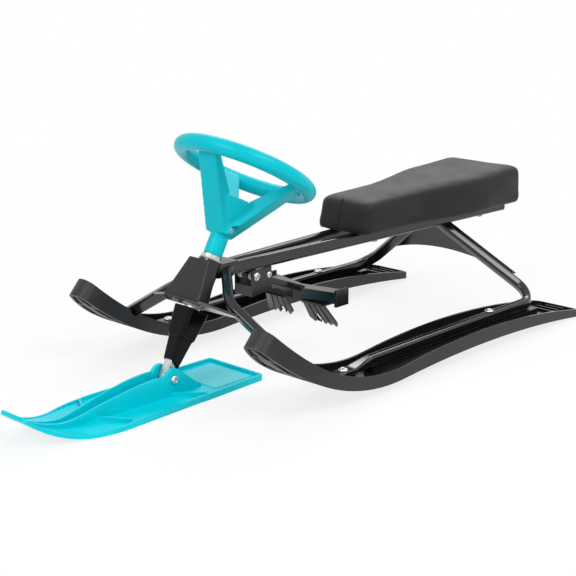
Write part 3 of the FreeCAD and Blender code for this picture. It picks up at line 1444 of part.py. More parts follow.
def rim_fade():
    """What is taken off the rim from the widest place to the tip."""
    rim, low = size("fski_rim"), size("fski_tip_rim")
    start, end = size("fski_wide_x") - 20, size("fski_lift_x")
    corners = [Vector(start, 0, rim), Vector(end, 0, low), Vector(end, 0, rim + 20), Vector(start, 0, rim + 20)]
    wedge = Part.Face(Part.makePolygon(corners + corners[:1])).extrude(LEFT * 400)
    wedge.translate(LEFT * -200)
    tip = fski_band(low, rim + 40).common(block(Vector(end, -REACH, -1), Vector(REACH, REACH, REACH)))
    return wedge.fuse(tip)


def front_ski():
    """Floor with a raised rim, a hollow spine, two lugs, slanted ribs and a raised rear panel."""
    floor, rim = size("fski_floor"), size("fski_rim")
    tray = fski_layer(0, rim, 0).cut(fski_layer(floor, rim + 40, size("fski_wall"))).cut(rim_fade())
    outer, inner = spine()
    channel = inner.common(block(Vector(0, -REACH, floor), Vector(REACH, REACH, REACH)))
    spine_part = outer.cut(channel).common(fski_layer(0.5, size("spine_height") + rim, 1))
    left_lug = lug()
    left_rib = deck_rib(size("pivot_x") + size("lug_radius") / 2, LUG_OUTER - 1, size("deck_rib_end_x"))
    tip_rib = deck_rib(size("tip_rib_x"), size("spine_tip_half"), size("tip_rib_end_x"))
    tip_rib = tip_rib.cut(inner)
    panel = block(
        Vector(size("fski_rear_x") + 12, -size("fski_rear_half") + 16, floor - 1),
        Vector(size("lug_tail_x") - 4, size("fski_rear_half") - 16, floor + size("panel_step")),
    )
    ski = tray.fuse([spine_part, left_lug, flip(left_lug), left_rib, flip(left_rib), tip_rib, flip(tip_rib), panel])
    return ski.removeSplitter()


solid_node("front_ski", front_ski())
PIVOT = Vector(size("pivot_x"), 0, size("pivot_z"))
solid_node(
    "front_ski_bolt",
    domed_bolt(
        PIVOT + LEFT * LUG_OUTER, -LEFT, size("pivot_bolt_radius"), 2 * LUG_OUTER + size("pivot_nut_height") + 2,
        size("pivot_head_radius"), size("pivot_head_height"),
    ),
)
solid_node(
    "front_ski_nut",
    hexagon_nut(
        PIVOT - LEFT * LUG_OUTER, -LEFT, size("pivot_bolt_radius") + size("running_gap"), size("pivot_head_radius"),
        size("pivot_nut_height"),
    ),
)

# Seat: straps, board, cushion and bolts

BOARD_BASE = RAIL_TOP
STRAP_TOP = RAIL_TOP + size("strap_thickness")


def seat_ring(inset, share):
    """The seat's outline drawn in by an inset, at a share of the cushion's tapering thickness."""
    front, rear = size("seat_front_x"), size("seat_rear_x")
    middle = (front + rear) / 2
    shrink_x = 1 - 2 * inset / (front - rear)
    shrink_y = 1 - inset / size("seat_hip_half")
    left = [
        (front, size("seat_front_half")), (size("seat_waist_x"), size("seat_waist_half")),
        (size("seat_hip_x"), size("seat_hip_half")), (rear, size("seat_rear_half")),
    ]
    widen_x = size("seat_waist_x") - size("seat_hip_x")
    widen_y = size("seat_hip_half") - size("seat_waist_half")
    most = 0.4 * math.hypot(widen_x, widen_y) / math.tan(math.atan2(widen_y, widen_x) / 2)
    radii = [
        size("seat_corner"), min(size("seat_waist_round"), most), min(size("seat_hip_round"), most),
        size("seat_corner"),
    ]
    outline = left + [(x, -y) for x, y in reversed(left)]
    points = []
    for x, y in outline:
        lean = size("seat_lean") * share * (x - rear) / (front - rear)
        points.append(Vector(middle + (x - middle) * shrink_x - lean, y * shrink_y, 0))
    wire = closed_outline(points, [radius * shrink_x * shrink_y for radius in radii + radii[::-1]])
    rise = (size("seat_rear_thick") - size("seat_front_thick")) * share
    tilt = math.degrees(math.atan2(rise, front - rear))
    wire.rotate(Vector(front, 0, 0), LEFT, tilt)
    wire.translate(UP * (BOARD_BASE + size("seat_front_thick") * share))
    return wire


def seat_cushion():
    """A loft from the drawn-in underside, over full sides and a rounded shoulder, to a crowned top."""
    stages = [(0, 5), (0.1, 1.2), (0.3, 0), (0.58, 0.2), (0.8, 0.8), (0.92, 2.6), (0.98, 7), (1.005, 14)]
    loft = Part.makeLoft([seat_ring(inset, share) for share, inset in stages], True, False)
    gap = size("soft_gap")
    room = Part.Face(seat_ring(size("board_margin") - gap, 0)).extrude(UP * (size("board_thickness") + gap))
    room.translate(UP * -0.001)
    return loft.cut(room)


solid_node("seat_cushion", seat_cushion())


def bolt_places():
    """The four seat bolts, through the rails."""
    places = []
    for x in (size("seat_bolt_front_x"), size("seat_bolt_rear_x")):
        places += [Vector(x, rail_y(x), 0), Vector(x, -rail_y(x), 0)]
    return places


seat_holes = []
for place in bolt_places():
    seat_holes.append(rod(place, UP, size("seat_bolt_radius") + size("running_gap"), REACH))
BOARD_SINK = BOARD_BASE + size("board_thickness") - 2
board = Part.Face(seat_ring(size("board_margin"), 0)).extrude(UP * size("board_thickness"))
board_holes = [hole.common(block(Vector(-REACH, -REACH, 0), Vector(REACH, REACH, BOARD_SINK))) for hole in seat_holes]
straps = []
for x in (size("seat_bolt_front_x"), size("seat_bolt_rear_x")):
    half = size("strap_width") / 2
    reach = rail_y(x) + size("tube_width") / 2 + 6
    straps.append(block(Vector(x - half, -reach, BOARD_BASE), Vector(x + half, reach, STRAP_TOP)))
solid_node("seat_board", board.cut(Part.makeCompound(board_holes + straps)))
solid_node("seat_straps", Part.makeCompound([strap.cut(Part.makeCompound(seat_holes)) for strap in straps]))
seat_bolts = []
for place in bolt_places():
    seat_bolts.append(
        domed_bolt(
            Vector(place.x, place.y, RAIL_BOTTOM), UP, size("seat_bolt_radius"), BOARD_SINK - 1 - RAIL_BOTTOM,
            size("seat_head_radius"), size("seat_head_height"),
        )
    )
solid_node("seat_bolts", Part.makeCompound(seat_bolts))

# Arched gusset on the rear faces of the rear legs


def rear_gusset():
    """A flat plate behind the two rear legs, under the rails, with an arched lower edge."""
    fall = LEG_BEND - LEG_TOP
    down = Vector(fall.x, 0, fall.z).normalize()
    behind = down.cross(LEFT)
    if behind.x > 0:
        behind = behind * -1
    slope = fall.y / math.hypot(fall.x, fall.z)
    base = Vector(LEG_TOP.x, 0, LEG_TOP.z) + behind * (size("tube_height") / 2)

    def at(across, along):
        return base + LEFT * across + down * along

    out = size("gusset_overlap") * math.hypot(1, slope)
    top = 7.0
    end, crown = size("gusset_end"), size("gusset_crown")
    wide_top = LEG_TOP.y + slope * top + out
    wide_end = LEG_TOP.y + slope * end + out
    inner_end = wide_end - 2 * out
    edges = [
        Part.LineSegment(at(-wide_top, top), at(wide_top, top)),
        Part.LineSegment(at(wide_top, top), at(wide_end, end)),
        Part.LineSegment(at(wide_end, end), at(inner_end, end)),
        Part.Arc(at(inner_end, end), at(0, crown), at(-inner_end, end)),
        Part.LineSegment(at(-inner_end, end), at(-wide_end, end)),
        Part.LineSegment(at(-wide_end, end), at(-wide_top, top)),
    ]
    plate = Part.Face(Part.Wire([item.toShape() for item in edges])).extrude(behind * size("gusset_thickness"))
    return plate.cut(Part.makeCompound([LEG_OUTER, flip(LEG_OUTER), RAIL_OUTER, flip(RAIL_OUTER)]))


solid_node("rear_gusset", rear_gusset())

# Brake bracket, bolts, levers, claws and springs


def brake_bracket():
    """Two side plates and a front plate, hung under the rails."""
    half, plate = size("bracket_half_width"), size("bracket_plate")
    corners = [
        Vector(size("bracket_front_x"), 0, size("bracket_front_z")),
        Vector(size("bracket_front_x"), 0, RAIL_BOTTOM),
        Vector(size("bracket_rear_x"), 0, RAIL_BOTTOM),
        Vector(size("bracket_rear_x"), 0, size("bracket_rear_z")),
    ]
    side = Part.Face(Part.makePolygon(corners + corners[:1])).extrude(LEFT * plate)
    side.translate(LEFT * (half - plate))
    front = block(
        Vector(size("bracket_front_x") - plate, -half, size("bracket_front_z")),
        Vector(size("bracket_front_x"), half, size("bracket_lip")),
    )
    shape = side.fuse([flip(side), front])
    for x, z, radius in (
        (size("brake_pivot_x"), size("brake_pivot_z"), size("brake_bolt_radius")),
        (size("stop_x"), STOP_Z, size("stop_radius")),
    ):
        shape = shape.cut(rod(Vector(x, -REACH, z), LEFT, radius + size("running_gap"), 2 * REACH))
    return shape.removeSplitter()


ARM_FALL = math.radians(size("arm_drop"))
ARM_DOWN = Vector(-math.cos(ARM_FALL), 0, -math.sin(ARM_FALL))
ARM_UPRIGHT = Vector(-math.sin(ARM_FALL), 0, math.cos(ARM_FALL))
BRAKE_PIVOT = Vector(size("brake_pivot_x"), 0, size("brake_pivot_z"))


def arm_top(x):
    """Height of the upper face of a brake arm at rest."""
    fall = (BRAKE_PIVOT.x - x) * math.tan(ARM_FALL)
    return BRAKE_PIVOT.z - fall + size("arm_half_thick") / math.cos(ARM_FALL)


STOP_Z = arm_top(size("stop_x")) + (size("stop_radius") + size("thrust_gap")) / math.cos(ARM_FALL)
solid_node("brake_bracket", brake_bracket())
bracket_half = size("bracket_half_width")
brake_nut_height = size("brake_head_height") + 1.5
solid_node(
    "brake_pivot_bolt",
    domed_bolt(
        BRAKE_PIVOT + LEFT * bracket_half, -LEFT, size("brake_bolt_radius"), 2 * bracket_half + brake_nut_height + 1,
        size("brake_head_radius"), size("brake_head_height"),
    ),
)
solid_node(
    "brake_pivot_nut",
    hexagon_nut(
        BRAKE_PIVOT - LEFT * bracket_half, -LEFT, size("brake_bolt_radius") + size("running_gap"),
        size("brake_head_radius"), brake_nut_height,
    ),
)
STOP = Vector(size("stop_x"), 0, STOP_Z)
stop_head = size("stop_radius") * 1.8
solid_node(
    "brake_stop_bolt",
    domed_bolt(STOP + LEFT * bracket_half, -LEFT, size("stop_radius"), 2 * bracket_half + 6, stop_head, 3),
)
solid_node(
    "brake_stop_nut", hexagon_nut(STOP - LEFT * bracket_half, -LEFT, size("stop_radius") + size("running_gap"),
                                  stop_head, 4),
)

ARM_OUTER = size("bracket_half_width") - size("bracket_plate") - size("soft_gap")
CLAW_TOP_X = size("pedal_inner_x") + size("claw_reach")
CLAW_TOP_Z = size("pedal_z") - size("pedal_half_height")
CLAW_BOLT_Y = (size("claw_inner_y") + size("claw_top_y")) / 2


def pedal_x(y):
    """Middle of the pedal, fore and aft, at a sideways place."""
    share = (y - size("lever_middle_gap")) / (size("pedal_outer_y") - size("lever_middle_gap"))
    return size("pedal_inner_x") + share * (size("pedal_outer_x") - size("pedal_inner_x"))


def pedal():
    """A swept-back foot bar with a flared end plate."""
    half_depth, half = size("pedal_depth") / 2, size("pedal_half_height")
    inner, outer = size("lever_middle_gap"), size("pedal_outer_y")

    def plan(low_y, high_y, depth):
        points = [
            Vector(pedal_x(low_y) - depth, low_y, 0), Vector(pedal_x(low_y) + depth, low_y, 0),
            Vector(pedal_x(high_y) + depth, high_y, 0), Vector(pedal_x(high_y) - depth, high_y, 0),
        ]
        return Part.Face(Part.makePolygon(points + points[:1]))

    bar = plan(inner, outer, half_depth).extrude(UP * (2 * half))
    bar.translate(UP * (size("pedal_z") - half))
    end_half = size("pedal_end_half")
    flare = plan(outer - size("pedal_end_thickness"), outer, half_depth + 3).extrude(UP * (2 * end_half))
    flare.translate(UP * (size("pedal_z") - end_half))
    return bar.fuse(flare)


SPRING_SLOPE = size("spring_pitch") / (2 * math.pi)
SPRING_SWEEP = 2 * math.pi * int(round(size("spring_turns"))) + 0.5 * math.pi - ARM_FALL
SPRING_START_Y = ARM_OUTER - size("spring_wire") - size("soft_gap") - SPRING_SLOPE
SPRING_END_Y = SPRING_START_Y - SPRING_SLOPE * SPRING_SWEEP


def spring_room():
    """The ring round the pivot that the spring's turns take up, with clearance on each side."""
    reach = size("spring_wire") + size("soft_gap")
    start = BRAKE_PIVOT + LEFT * (SPRING_END_Y - reach)
    width = SPRING_START_Y - SPRING_END_Y + 2 * reach
    ring = rod(start, LEFT, size("spring_radius") + reach, width)
    return ring.cut(rod(start, LEFT, size("spring_radius") - reach, width))


def brake_lever():
    """Hub on the pivot bolt, arm and pedal in one moulding."""
    gap, half = size("lever_middle_gap"), size("arm_half_thick")
    hub = rod(BRAKE_PIVOT + LEFT * gap, LEFT, size("lever_hub_radius"), size("lever_hub_width"))
    length = (BRAKE_PIVOT.x - size("pedal_inner_x")) / math.cos(ARM_FALL)
    clear = size("spring_radius") + size("spring_wire") + 1.5

    def arm_piece(start, end, low_y, high_y):
        corners = []
        for run, side in ((start, -half), (end, -half), (end, half), (start, half)):
            corners.append(BRAKE_PIVOT + ARM_DOWN * run + ARM_UPRIGHT * side + LEFT * low_y)
        return Part.Face(Part.makePolygon(corners + corners[:1])).extrude(LEFT * (high_y - low_y))

    narrow = arm_piece(0, clear + 1, gap, gap + size("lever_hub_width"))
    wide = arm_piece(clear, length, gap, ARM_OUTER)
    shape = hub.fuse([narrow, wide, pedal()])
    bore = rod(BRAKE_PIVOT - LEFT, LEFT, size("brake_bolt_radius") + size("running_gap"), 100)
    bolt_hole = rod(
        Vector(pedal_x(CLAW_BOLT_Y), CLAW_BOLT_Y, 0), UP, size("claw_bolt_radius") + size("running_gap"),
        size("pedal_z") + size("pedal_half_height") - 3,
    )
    return shape.cut(bore).cut(bolt_hole).cut(spring_room()).removeSplitter()


left_lever = solid_node("left_brake_lever", brake_lever())
mirrored_node("right_brake_lever", left_lever)


def brake_claw():
    """A ribbed plate under the pedal that falls to the rear, with a toothed edge."""
    inner, top_y, foot_y = size("claw_inner_y"), size("claw_top_y"), size("claw_foot_y")
    plate = size("claw_thickness")
    foot = Vector(size("claw_foot_x"), 0, size("claw_foot_z"))
    crest = Vector(CLAW_TOP_X, 0, CLAW_TOP_Z - plate)
    fall = foot - crest
    length = fall.Length
    down = Vector(fall).normalize()
    count = int(round(size("claw_teeth")))
    root = length - size("claw_tooth")

    def at(across, along):
        return crest + LEFT * across + down * along

    corners = [at(inner, 0), at(top_y, 0), at(foot_y, root)]
    pitch = (foot_y - inner) / count
    for index in range(count):
        outer_edge = foot_y - pitch * index
        corners.append(at(outer_edge - pitch * 0.15, length))
        corners.append(at(outer_edge - pitch, root))
    face = Part.Face(Part.makePolygon(corners + corners[:1]))
    behind = down.cross(LEFT)
    blade = face.extrude(behind * (plate if behind.z > 0 else -plate))
    flange = block(
        Vector(pedal_x(top_y) - size("pedal_depth") / 2 + 4, inner, CLAW_TOP_Z - plate),
        Vector(CLAW_TOP_X + 4, top_y, CLAW_TOP_Z),
    )
    ribs = []
    for share in (0.25, 0.5, 0.75):
        start_y = inner + (top_y - inner) * share
        end_y = inner + (foot_y - inner) * share
        points = [at(start_y - 1.2, 4), at(start_y + 1.2, 4), at(end_y + 1.2, root), at(end_y - 1.2, root)]
        rib = Part.Face(Part.makePolygon(points + points[:1]))
        ribs.append(rib.extrude(behind * (-size("claw_rib") if behind.z > 0 else size("claw_rib"))))
    shape = blade.fuse([flange] + ribs)
    above = block(Vector(-REACH, -REACH, CLAW_TOP_Z), Vector(REACH, REACH, REACH))
    hole = rod(
        Vector(pedal_x(CLAW_BOLT_Y), CLAW_BOLT_Y, 0), UP, size("claw_bolt_radius") + size("running_gap"), REACH
    )
    head_room = rod(
        Vector(pedal_x(CLAW_BOLT_Y), CLAW_BOLT_Y, 0), UP, size("claw_head_radius") + 1, CLAW_TOP_Z - plate
    )
    return shape.cut(above).cut(hole).cut(head_room).removeSplitter()


left_claw = solid_node("left_brake_claw", brake_claw())
mirrored_node("right_brake_claw", left_claw)
claw_bolt = domed_bolt(
    Vector(pedal_x(CLAW_BOLT_Y), CLAW_BOLT_Y, CLAW_TOP_Z - size("claw_thickness")), UP, size("claw_bolt_radius"),
    size("claw_thickness") + 2 * size("pedal_half_height") - 4, size("claw_head_radius"), 3.2,
)
left_claw_bolt = solid_node("left_claw_bolt", claw_bolt)
mirrored_node("right_claw_bolt", left_claw_bolt)


def biarc(start, start_ahead, end, end_ahead):
    """Two arcs that leave one point and reach another along given directions."""
    chord = end - start
    both = start_ahead + end_ahead
    square = 2 * (1 - start_ahead.dot(end_ahead))
    linear = chord.dot(both)
    reach = (-linear + math.sqrt(linear ** 2 + square * chord.dot(chord))) / square
    joint = (start + end + (start_ahead - end_ahead) * reach) / 2

    def arc(first, ahead, last):
        span = last - first
        bend = span * span.dot(ahead) * 2 / span.dot(span) - ahead
        middle_ahead = (ahead + bend).normalize()
        normal = ahead.cross(span).normalize().cross(ahead).normalize()
        radius = span.dot(span) / (2 * normal.dot(span))
        centre = first + normal * radius
        return Part.Arc(first, centre + (first + last - centre * 2).normalize() * radius, last).toShape(), middle_ahead

    first_edge, _ = arc(start, start_ahead, joint)
    last_edge, _ = arc(joint, (end - joint).normalize() * 2 * (end - joint).normalize().dot(end_ahead) - end_ahead, end)
    return [first_edge, last_edge]


def brake_spring():
    """A torsion spring on the pivot bolt: a leg under the rail, whole turns, a leg under the arm.

    The wire's middle runs at a steady radius round the pivot and moves sideways by one pitch a
    turn, from the bracket's plate inwards.
    """
    radius, wire, slope = size("spring_radius"), size("spring_wire"), SPRING_SLOPE
    start_angle = 0.0
    end_angle = -SPRING_SWEEP

    def place(angle):
        y = SPRING_START_Y + slope * angle
        return BRAKE_PIVOT + Vector(radius * math.cos(angle), y, radius * math.sin(angle))

    def ahead(angle):
        return Vector(radius * math.sin(angle), -slope, -radius * math.cos(angle)).normalize()

    quarters = int(math.ceil((start_angle - end_angle) / (math.pi / 2)))
    angles = [start_angle + (end_angle - start_angle) * k / quarters for k in range(quarters + 1)]
    top = Vector(place(start_angle))
    leg_start = top - ahead(start_angle) * (RAIL_BOTTOM - size("soft_gap") - wire - top.z)
    edges = [Part.LineSegment(leg_start, top).toShape()]
    for first, last in zip(angles, angles[1:]):
        edges += biarc(place(first), ahead(first), place(last), ahead(last))
    foot = place(end_angle)
    edges.append(Part.LineSegment(foot, foot + ahead(end_angle) * size("spring_leg")).toShape())
    path = Part.Wire(edges)
    first_ahead = ahead(start_angle)
    section = Part.Wire(Part.Circle(leg_start, first_ahead, wire).toShape())
    shape = path.makePipeShell([section], True, False)
    samples = [place(start_angle + (end_angle - start_angle) * k / 400) for k in range(401)]
    apart = int(400 * 0.6 / ((start_angle - end_angle) / (2 * math.pi)))
    least = min(
        (first - second).Length for k, first in enumerate(samples) for second in samples[k + apart:]
    ) - 2 * wire
    print("least gap between the spring's turns: %.2f mm" % least)
    return shape


left_spring = solid_node("left_brake_spring", brake_spring())
mirrored_node("right_brake_spring", left_spring)

# Check every object, then write each sub-part

doc.recompute()
for item in doc.Objects:
    if "Invalid" in item.State or "Error" in item.State:
        raise RuntimeError("%s failed: %s" % (item.Label, item.State))
for name, item in NODES.items():
    if item.Shape.isNull() or not item.Shape.isValid():
        raise RuntimeError("the shape of %s is not valid" % name)
os.makedirs("parts", exist_ok=True)
for name, item in NODES.items():
    item.Shape.exportStep("parts/%s.step" % name)
print("%d sub-parts written" % len(NODES))
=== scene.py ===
"""Looks of a steering sled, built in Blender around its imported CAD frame."""

import json
import math

import bmesh
import bpy
import numpy as np
from bpy.props import FloatProperty, FloatVectorProperty, IntProperty, PointerProperty
from mathutils import Matrix, Vector


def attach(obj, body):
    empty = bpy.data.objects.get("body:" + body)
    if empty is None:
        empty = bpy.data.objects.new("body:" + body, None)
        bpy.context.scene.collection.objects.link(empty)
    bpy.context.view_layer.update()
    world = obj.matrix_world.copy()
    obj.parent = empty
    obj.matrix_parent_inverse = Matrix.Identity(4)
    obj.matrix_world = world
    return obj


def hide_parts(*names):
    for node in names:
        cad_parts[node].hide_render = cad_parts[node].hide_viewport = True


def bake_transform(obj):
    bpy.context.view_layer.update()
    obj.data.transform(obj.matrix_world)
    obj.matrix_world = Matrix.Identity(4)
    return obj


bl_info = {
    "name": "Steering Sled",
    "version": (1, 0, 0),
    "blender": (4, 5, 0),
    "location": "3D View > Sidebar > Sled",
    "description": "Dresses the CAD frame of a steering sled: moulded skis and wheel, seat, paint and stage",
    "category": "Object",
}

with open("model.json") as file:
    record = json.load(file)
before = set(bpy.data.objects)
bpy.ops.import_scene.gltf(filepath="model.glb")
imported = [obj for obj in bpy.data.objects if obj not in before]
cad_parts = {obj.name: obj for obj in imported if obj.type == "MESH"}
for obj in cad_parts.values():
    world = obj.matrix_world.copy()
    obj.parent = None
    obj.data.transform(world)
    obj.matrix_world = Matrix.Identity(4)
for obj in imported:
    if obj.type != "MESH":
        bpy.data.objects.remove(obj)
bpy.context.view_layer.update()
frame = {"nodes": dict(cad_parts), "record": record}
BODY_OF = {node: body for body, nodes in frame["record"]["behaviour"]["bodies"].items() for node in nodes}
SLOT_OF = {item["node"]: item["material_slot"] for item in frame["record"]["subparts"]}

# Places on the CAD pieces that the looks refer to, in metres; a ski's side band is measured in from its side

PANEL_MIDDLE_X, PANEL_HALF_X, PANEL_HALF_Y = 0.1815, 0.040, 0.047
PANEL_EDGE = 0.001
SKI_TRACK, SKI_HALF = 0.205, 0.048
SKI_SIDE_START, SKI_SIDE_END = 0.0025, 0.001
SKI_TIP_START, SKI_TIP_END = 0.15, 0.19
RIM_HEIGHT, RIM_FADE = 0.011, 0.014

# The seat's seam, in metres: its line, where the cover is searched, and how far a found point counts

SEAM_Y = -0.008
SEAM_SEARCH = 0.03
SEAM_FOOT, SEAM_TOP = 0.004, 0.0005
SEAM_BAND, SEAM_REACH = 0.003, 0.004
SEAM_POINTS = 40
SEAM_TAPER, SEAM_TIP = 12, 0.02

# Angles in degrees at which shading breaks and edges are rounded, and the limit for flat faces

SMOOTH_ANGLE = 34.0
BEND_ANGLE = 30.0
SHIELD_ANGLE = 24.0
SPRING_ANGLE = 60.0
FLAT_ANGLE = 0.6

# Mesh work: distances in metres, smoothing, and the sockets as shares of a bolt head's radius

JOIN_DISTANCE, SLIVER_DISTANCE = 2e-6, 1e-6
SMOOTH_SHARE = 0.5
BEVEL_STEPS = 2
SEAT_EVEN_STEPS = 4
FILL_FRAMES = 20
STEEP = 0.95
SOCKET_SIDES = 6
SOCKET_RADIUS, SOCKET_DEPTH = 0.5, 0.35
SKEW_LINE = (0.3, 0.5, 0.8)

# Stage, in metres, with the camera's sensor in millimetres

FLOOR_LEVEL, FLOOR_HALF, FLOOR_LINES = -0.0004, 6.0, 25
FLOOR_FADE_START, FLOOR_FADE_END, FLOOR_FADE_LOW = 0.7, 1.9, 0.80
SENSOR_WIDTH, VIEW_END = 36.0, 50.0
FLOOR_GREY = (0.86, 0.86, 0.86, 1.0)
WHITE = (1.0, 1.0, 1.0, 1.0)

# Values that a user would change


class SledSizes(bpy.types.PropertyGroup):
    """Sizes of the dressed pieces."""

    wheel_voxel: FloatProperty(
        name="Wheel grid", description="Grid of the moulded wheel's surface", default=0.0016, unit="LENGTH"
    )
    mould_bevel: FloatProperty(
        name="Ski edge", description="Rounded edge of the moulded skis", default=0.0008, unit="LENGTH"
    )
    wheel_steps: IntProperty(
        name="Wheel rounding", description="Smoothing steps that round the wheel's edges", default=8, min=0
    )
    boot_voxel: FloatProperty(
        name="Boot grid", description="Grid of the moulded boot's surface", default=0.0009, unit="LENGTH"
    )
    boot_steps: IntProperty(
        name="Boot rounding", description="Smoothing steps that round the boot's edges", default=15, min=0
    )
    shell_bevel: FloatProperty(
        name="Shield edge", description="Rounded edge of the shield", default=0.0016, unit="LENGTH"
    )
    sheet_bevel: FloatProperty(
        name="Sheet edge", description="Rounded edge of the sheet metal pieces", default=0.0005, unit="LENGTH"
    )
    seat_voxel: FloatProperty(
        name="Seat grid", description="Grid of the cushion's cover", default=0.004, unit="LENGTH"
    )
    seat_pressure: FloatProperty(
        name="Seat pressure", description="Pressure that fills the cushion's cloth", default=4.0
    )
    seat_swell: FloatProperty(
        name="Seat swell", description="Most that the cushion's cover swells", default=0.005, unit="LENGTH"
    )
    seam_radius: FloatProperty(
        name="Seam", description="Radius of the folded seam on the seat", default=0.0015, unit="LENGTH"
    )
    seat_slack: FloatProperty(
        name="Seat slack", description="How far the cover starts inside its CAD form", default=0.0015,
        unit="LENGTH",
    )
    seat_spread: IntProperty(
        name="Seat evenness", description="Steps that even out the cover's swelling", default=14, min=0
    )


class SledColours(bpy.types.PropertyGroup):
    """Colours of the finishes, as scene linear values."""

    turquoise: FloatVectorProperty(
        name="Moulding", description="Front ski and wheel", subtype="COLOR", default=(0.000, 0.560, 0.655)
    )
    paint: FloatVectorProperty(
        name="Frame", description="Powder coated tubes and plates", subtype="COLOR",
        default=(0.006, 0.006, 0.007),
    )
    runner: FloatVectorProperty(
        name="Rear skis", description="Black moulded skis", subtype="COLOR", default=(0.010, 0.010, 0.012)
    )
    boot: FloatVectorProperty(
        name="Boot", description="Gloss cover of the steering column", subtype="COLOR",
        default=(0.002, 0.002, 0.002),
    )
    shield: FloatVectorProperty(
        name="Shield", description="Satin fairing over the head tube", subtype="COLOR",
        default=(0.0125, 0.0125, 0.0133),
    )
    vinyl: FloatVectorProperty(
        name="Seat", description="Grained seat cover", subtype="COLOR", default=(0.0086, 0.0079, 0.0102)
    )
    zinc: FloatVectorProperty(
        name="Fasteners", description="Zinc plated steel", subtype="COLOR", default=(0.62, 0.63, 0.66)
    )
    nylon: FloatVectorProperty(
        name="Bushes", description="Natural nylon", subtype="COLOR", default=(0.55, 0.54, 0.50)
    )


class SledStage(bpy.types.PropertyGroup):
    """Camera and light."""

    focal_length: FloatProperty(
        name="Focal length", description="On a 36 mm wide sensor", default=81.25, unit="CAMERA"
    )
    camera_place: FloatVectorProperty(
        name="Camera", description="Where the camera stands", subtype="XYZ", unit="LENGTH",
        default=(1.5695, 1.4640, 0.7140),
    )
    camera_yaw: FloatProperty(
        name="Yaw", description="Heading of the view from +X", default=math.radians(222.84), unit="ROTATION"
    )
    camera_pitch: FloatProperty(
        name="Pitch", description="Fall of the view", default=math.radians(-15.53), unit="ROTATION"
    )
    camera_shift: FloatProperty(
        name="Shift", description="Sideways shift of the picture, in picture widths", default=-0.0083
    )
    sky_fill: FloatProperty(
        name="Fill", description="Strength of the even light that falls on the sled", default=0.55
    )


def sizes():
    """The sizes in use."""
    return bpy.context.scene.sled_sizes


def colours():
    """The colours in use."""
    return bpy.context.scene.sled_colours


# Shader node groups


def group_with(name, inputs, outputs):
    """An empty shader node group with named sockets, and its two end nodes."""
    tree = bpy.data.node_groups.new(name, "ShaderNodeTree")
    for label, value in inputs:
        socket = tree.interface.new_socket(label, in_out="INPUT", socket_type="NodeSocketFloat")
        socket.default_value = value
    for label in outputs:
        tree.interface.new_socket(label, in_out="OUTPUT", socket_type="NodeSocketFloat")
    return tree, tree.nodes.new("NodeGroupInput"), tree.nodes.new("NodeGroupOutput")


def add_node(tree, kind, links=(), **values):
    """A node with its properties set and its inputs linked or given a value, by socket name or number."""
    item = tree.nodes.new(kind)
    for key, value in values.items():
        setattr(item, key, value)
    for key, source in dict(links).items():
        if isinstance(source, bpy.types.NodeSocket):
            tree.links.new(source, item.inputs[key])
        else:
            item.inputs[key].default_value = source
    return item


def calc(tree, operation, *values, clamp=False):
    """The result of a math node on one or two values, each a number or a socket."""
    item = add_node(tree, "ShaderNodeMath", dict(enumerate(values)), operation=operation, use_clamp=clamp)
    return item.outputs[0]


def ranged(tree, value, low, high, from_low=0.3, from_high=0.7, kind="LINEAR"):
    """A value stretched from one span, as a rule that of a noise, to another."""
    spans = {"Value": value, "From Min": from_low, "From Max": from_high, "To Min": low, "To Max": high}
    return add_node(tree, "ShaderNodeMapRange", spans, interpolation_type=kind).outputs[0]


def noise(tree, place, scale, detail, roughness=0.5):
    """A noise texture."""
    links = {"Vector": place, "Scale": scale, "Detail": detail, "Roughness": roughness}
    return add_node(tree, "ShaderNodeTexNoise", links)


def object_place(tree):
    """The place of a shaded point on its piece."""
    return tree.nodes.new("ShaderNodeTexCoord").outputs["Object"]


def seen_rays(tree):
    """One for rays from the camera, in reflections and through clear pieces, nought for light that falls."""
    path = tree.nodes.new("ShaderNodeLightPath").outputs
    direct = calc(tree, "MAXIMUM", path["Is Camera Ray"], path["Is Glossy Ray"])
    return calc(tree, "MAXIMUM", direct, path["Is Transmission Ray"])


def grain_group():
    """Fine pebbled grain: cells of one scale, broken up by noise, and a slow drift over the surface."""
    inputs = [("Scale", 900.0), ("Drift Scale", 9.0)]
    tree, start, end = group_with("moulded_grain", inputs, ["Height", "Drift"])
    place, scale = object_place(tree), start.outputs["Scale"]
    cells = add_node(tree, "ShaderNodeTexVoronoi", {"Vector": place, "Scale": scale}, feature="SMOOTH_F1")
    fine = noise(tree, place, scale, detail=3.0)
    drift = noise(tree, place, start.outputs["Drift Scale"], detail=4.0, roughness=0.6)
    height = calc(tree, "MULTIPLY", cells.outputs["Distance"], fine.outputs["Fac"])
    tree.links.new(height, end.inputs["Height"])
    tree.links.new(drift.outputs["Fac"], end.inputs["Drift"])
    return tree


def rub_group():
    """Rub marks: noise drawn out along the sled, kept only where it is strongest."""
    tree, start, end = group_with("rub_marks", [("Scale", 60.0), ("Amount", 0.3)], ["Mask"])
    place = object_place(tree)
    drawn = add_node(tree, "ShaderNodeMapping", {"Vector": place, "Scale": (0.06, 1.0, 1.0)})
    lines = noise(tree, drawn.outputs[0], start.outputs["Scale"], detail=6.0, roughness=0.7)
    patches = noise(tree, place, scale=7.0, detail=2.0)
    kept = ranged(tree, lines.outputs["Fac"], 0.0, 1.0, from_low=0.56, from_high=0.72)
    where = ranged(tree, patches.outputs["Fac"], 0.0, 1.0, from_low=0.45, from_high=0.7)
    share = calc(tree, "MULTIPLY", calc(tree, "MULTIPLY", kept, where), start.outputs["Amount"])
    tree.links.new(share, end.inputs["Mask"])
    return tree


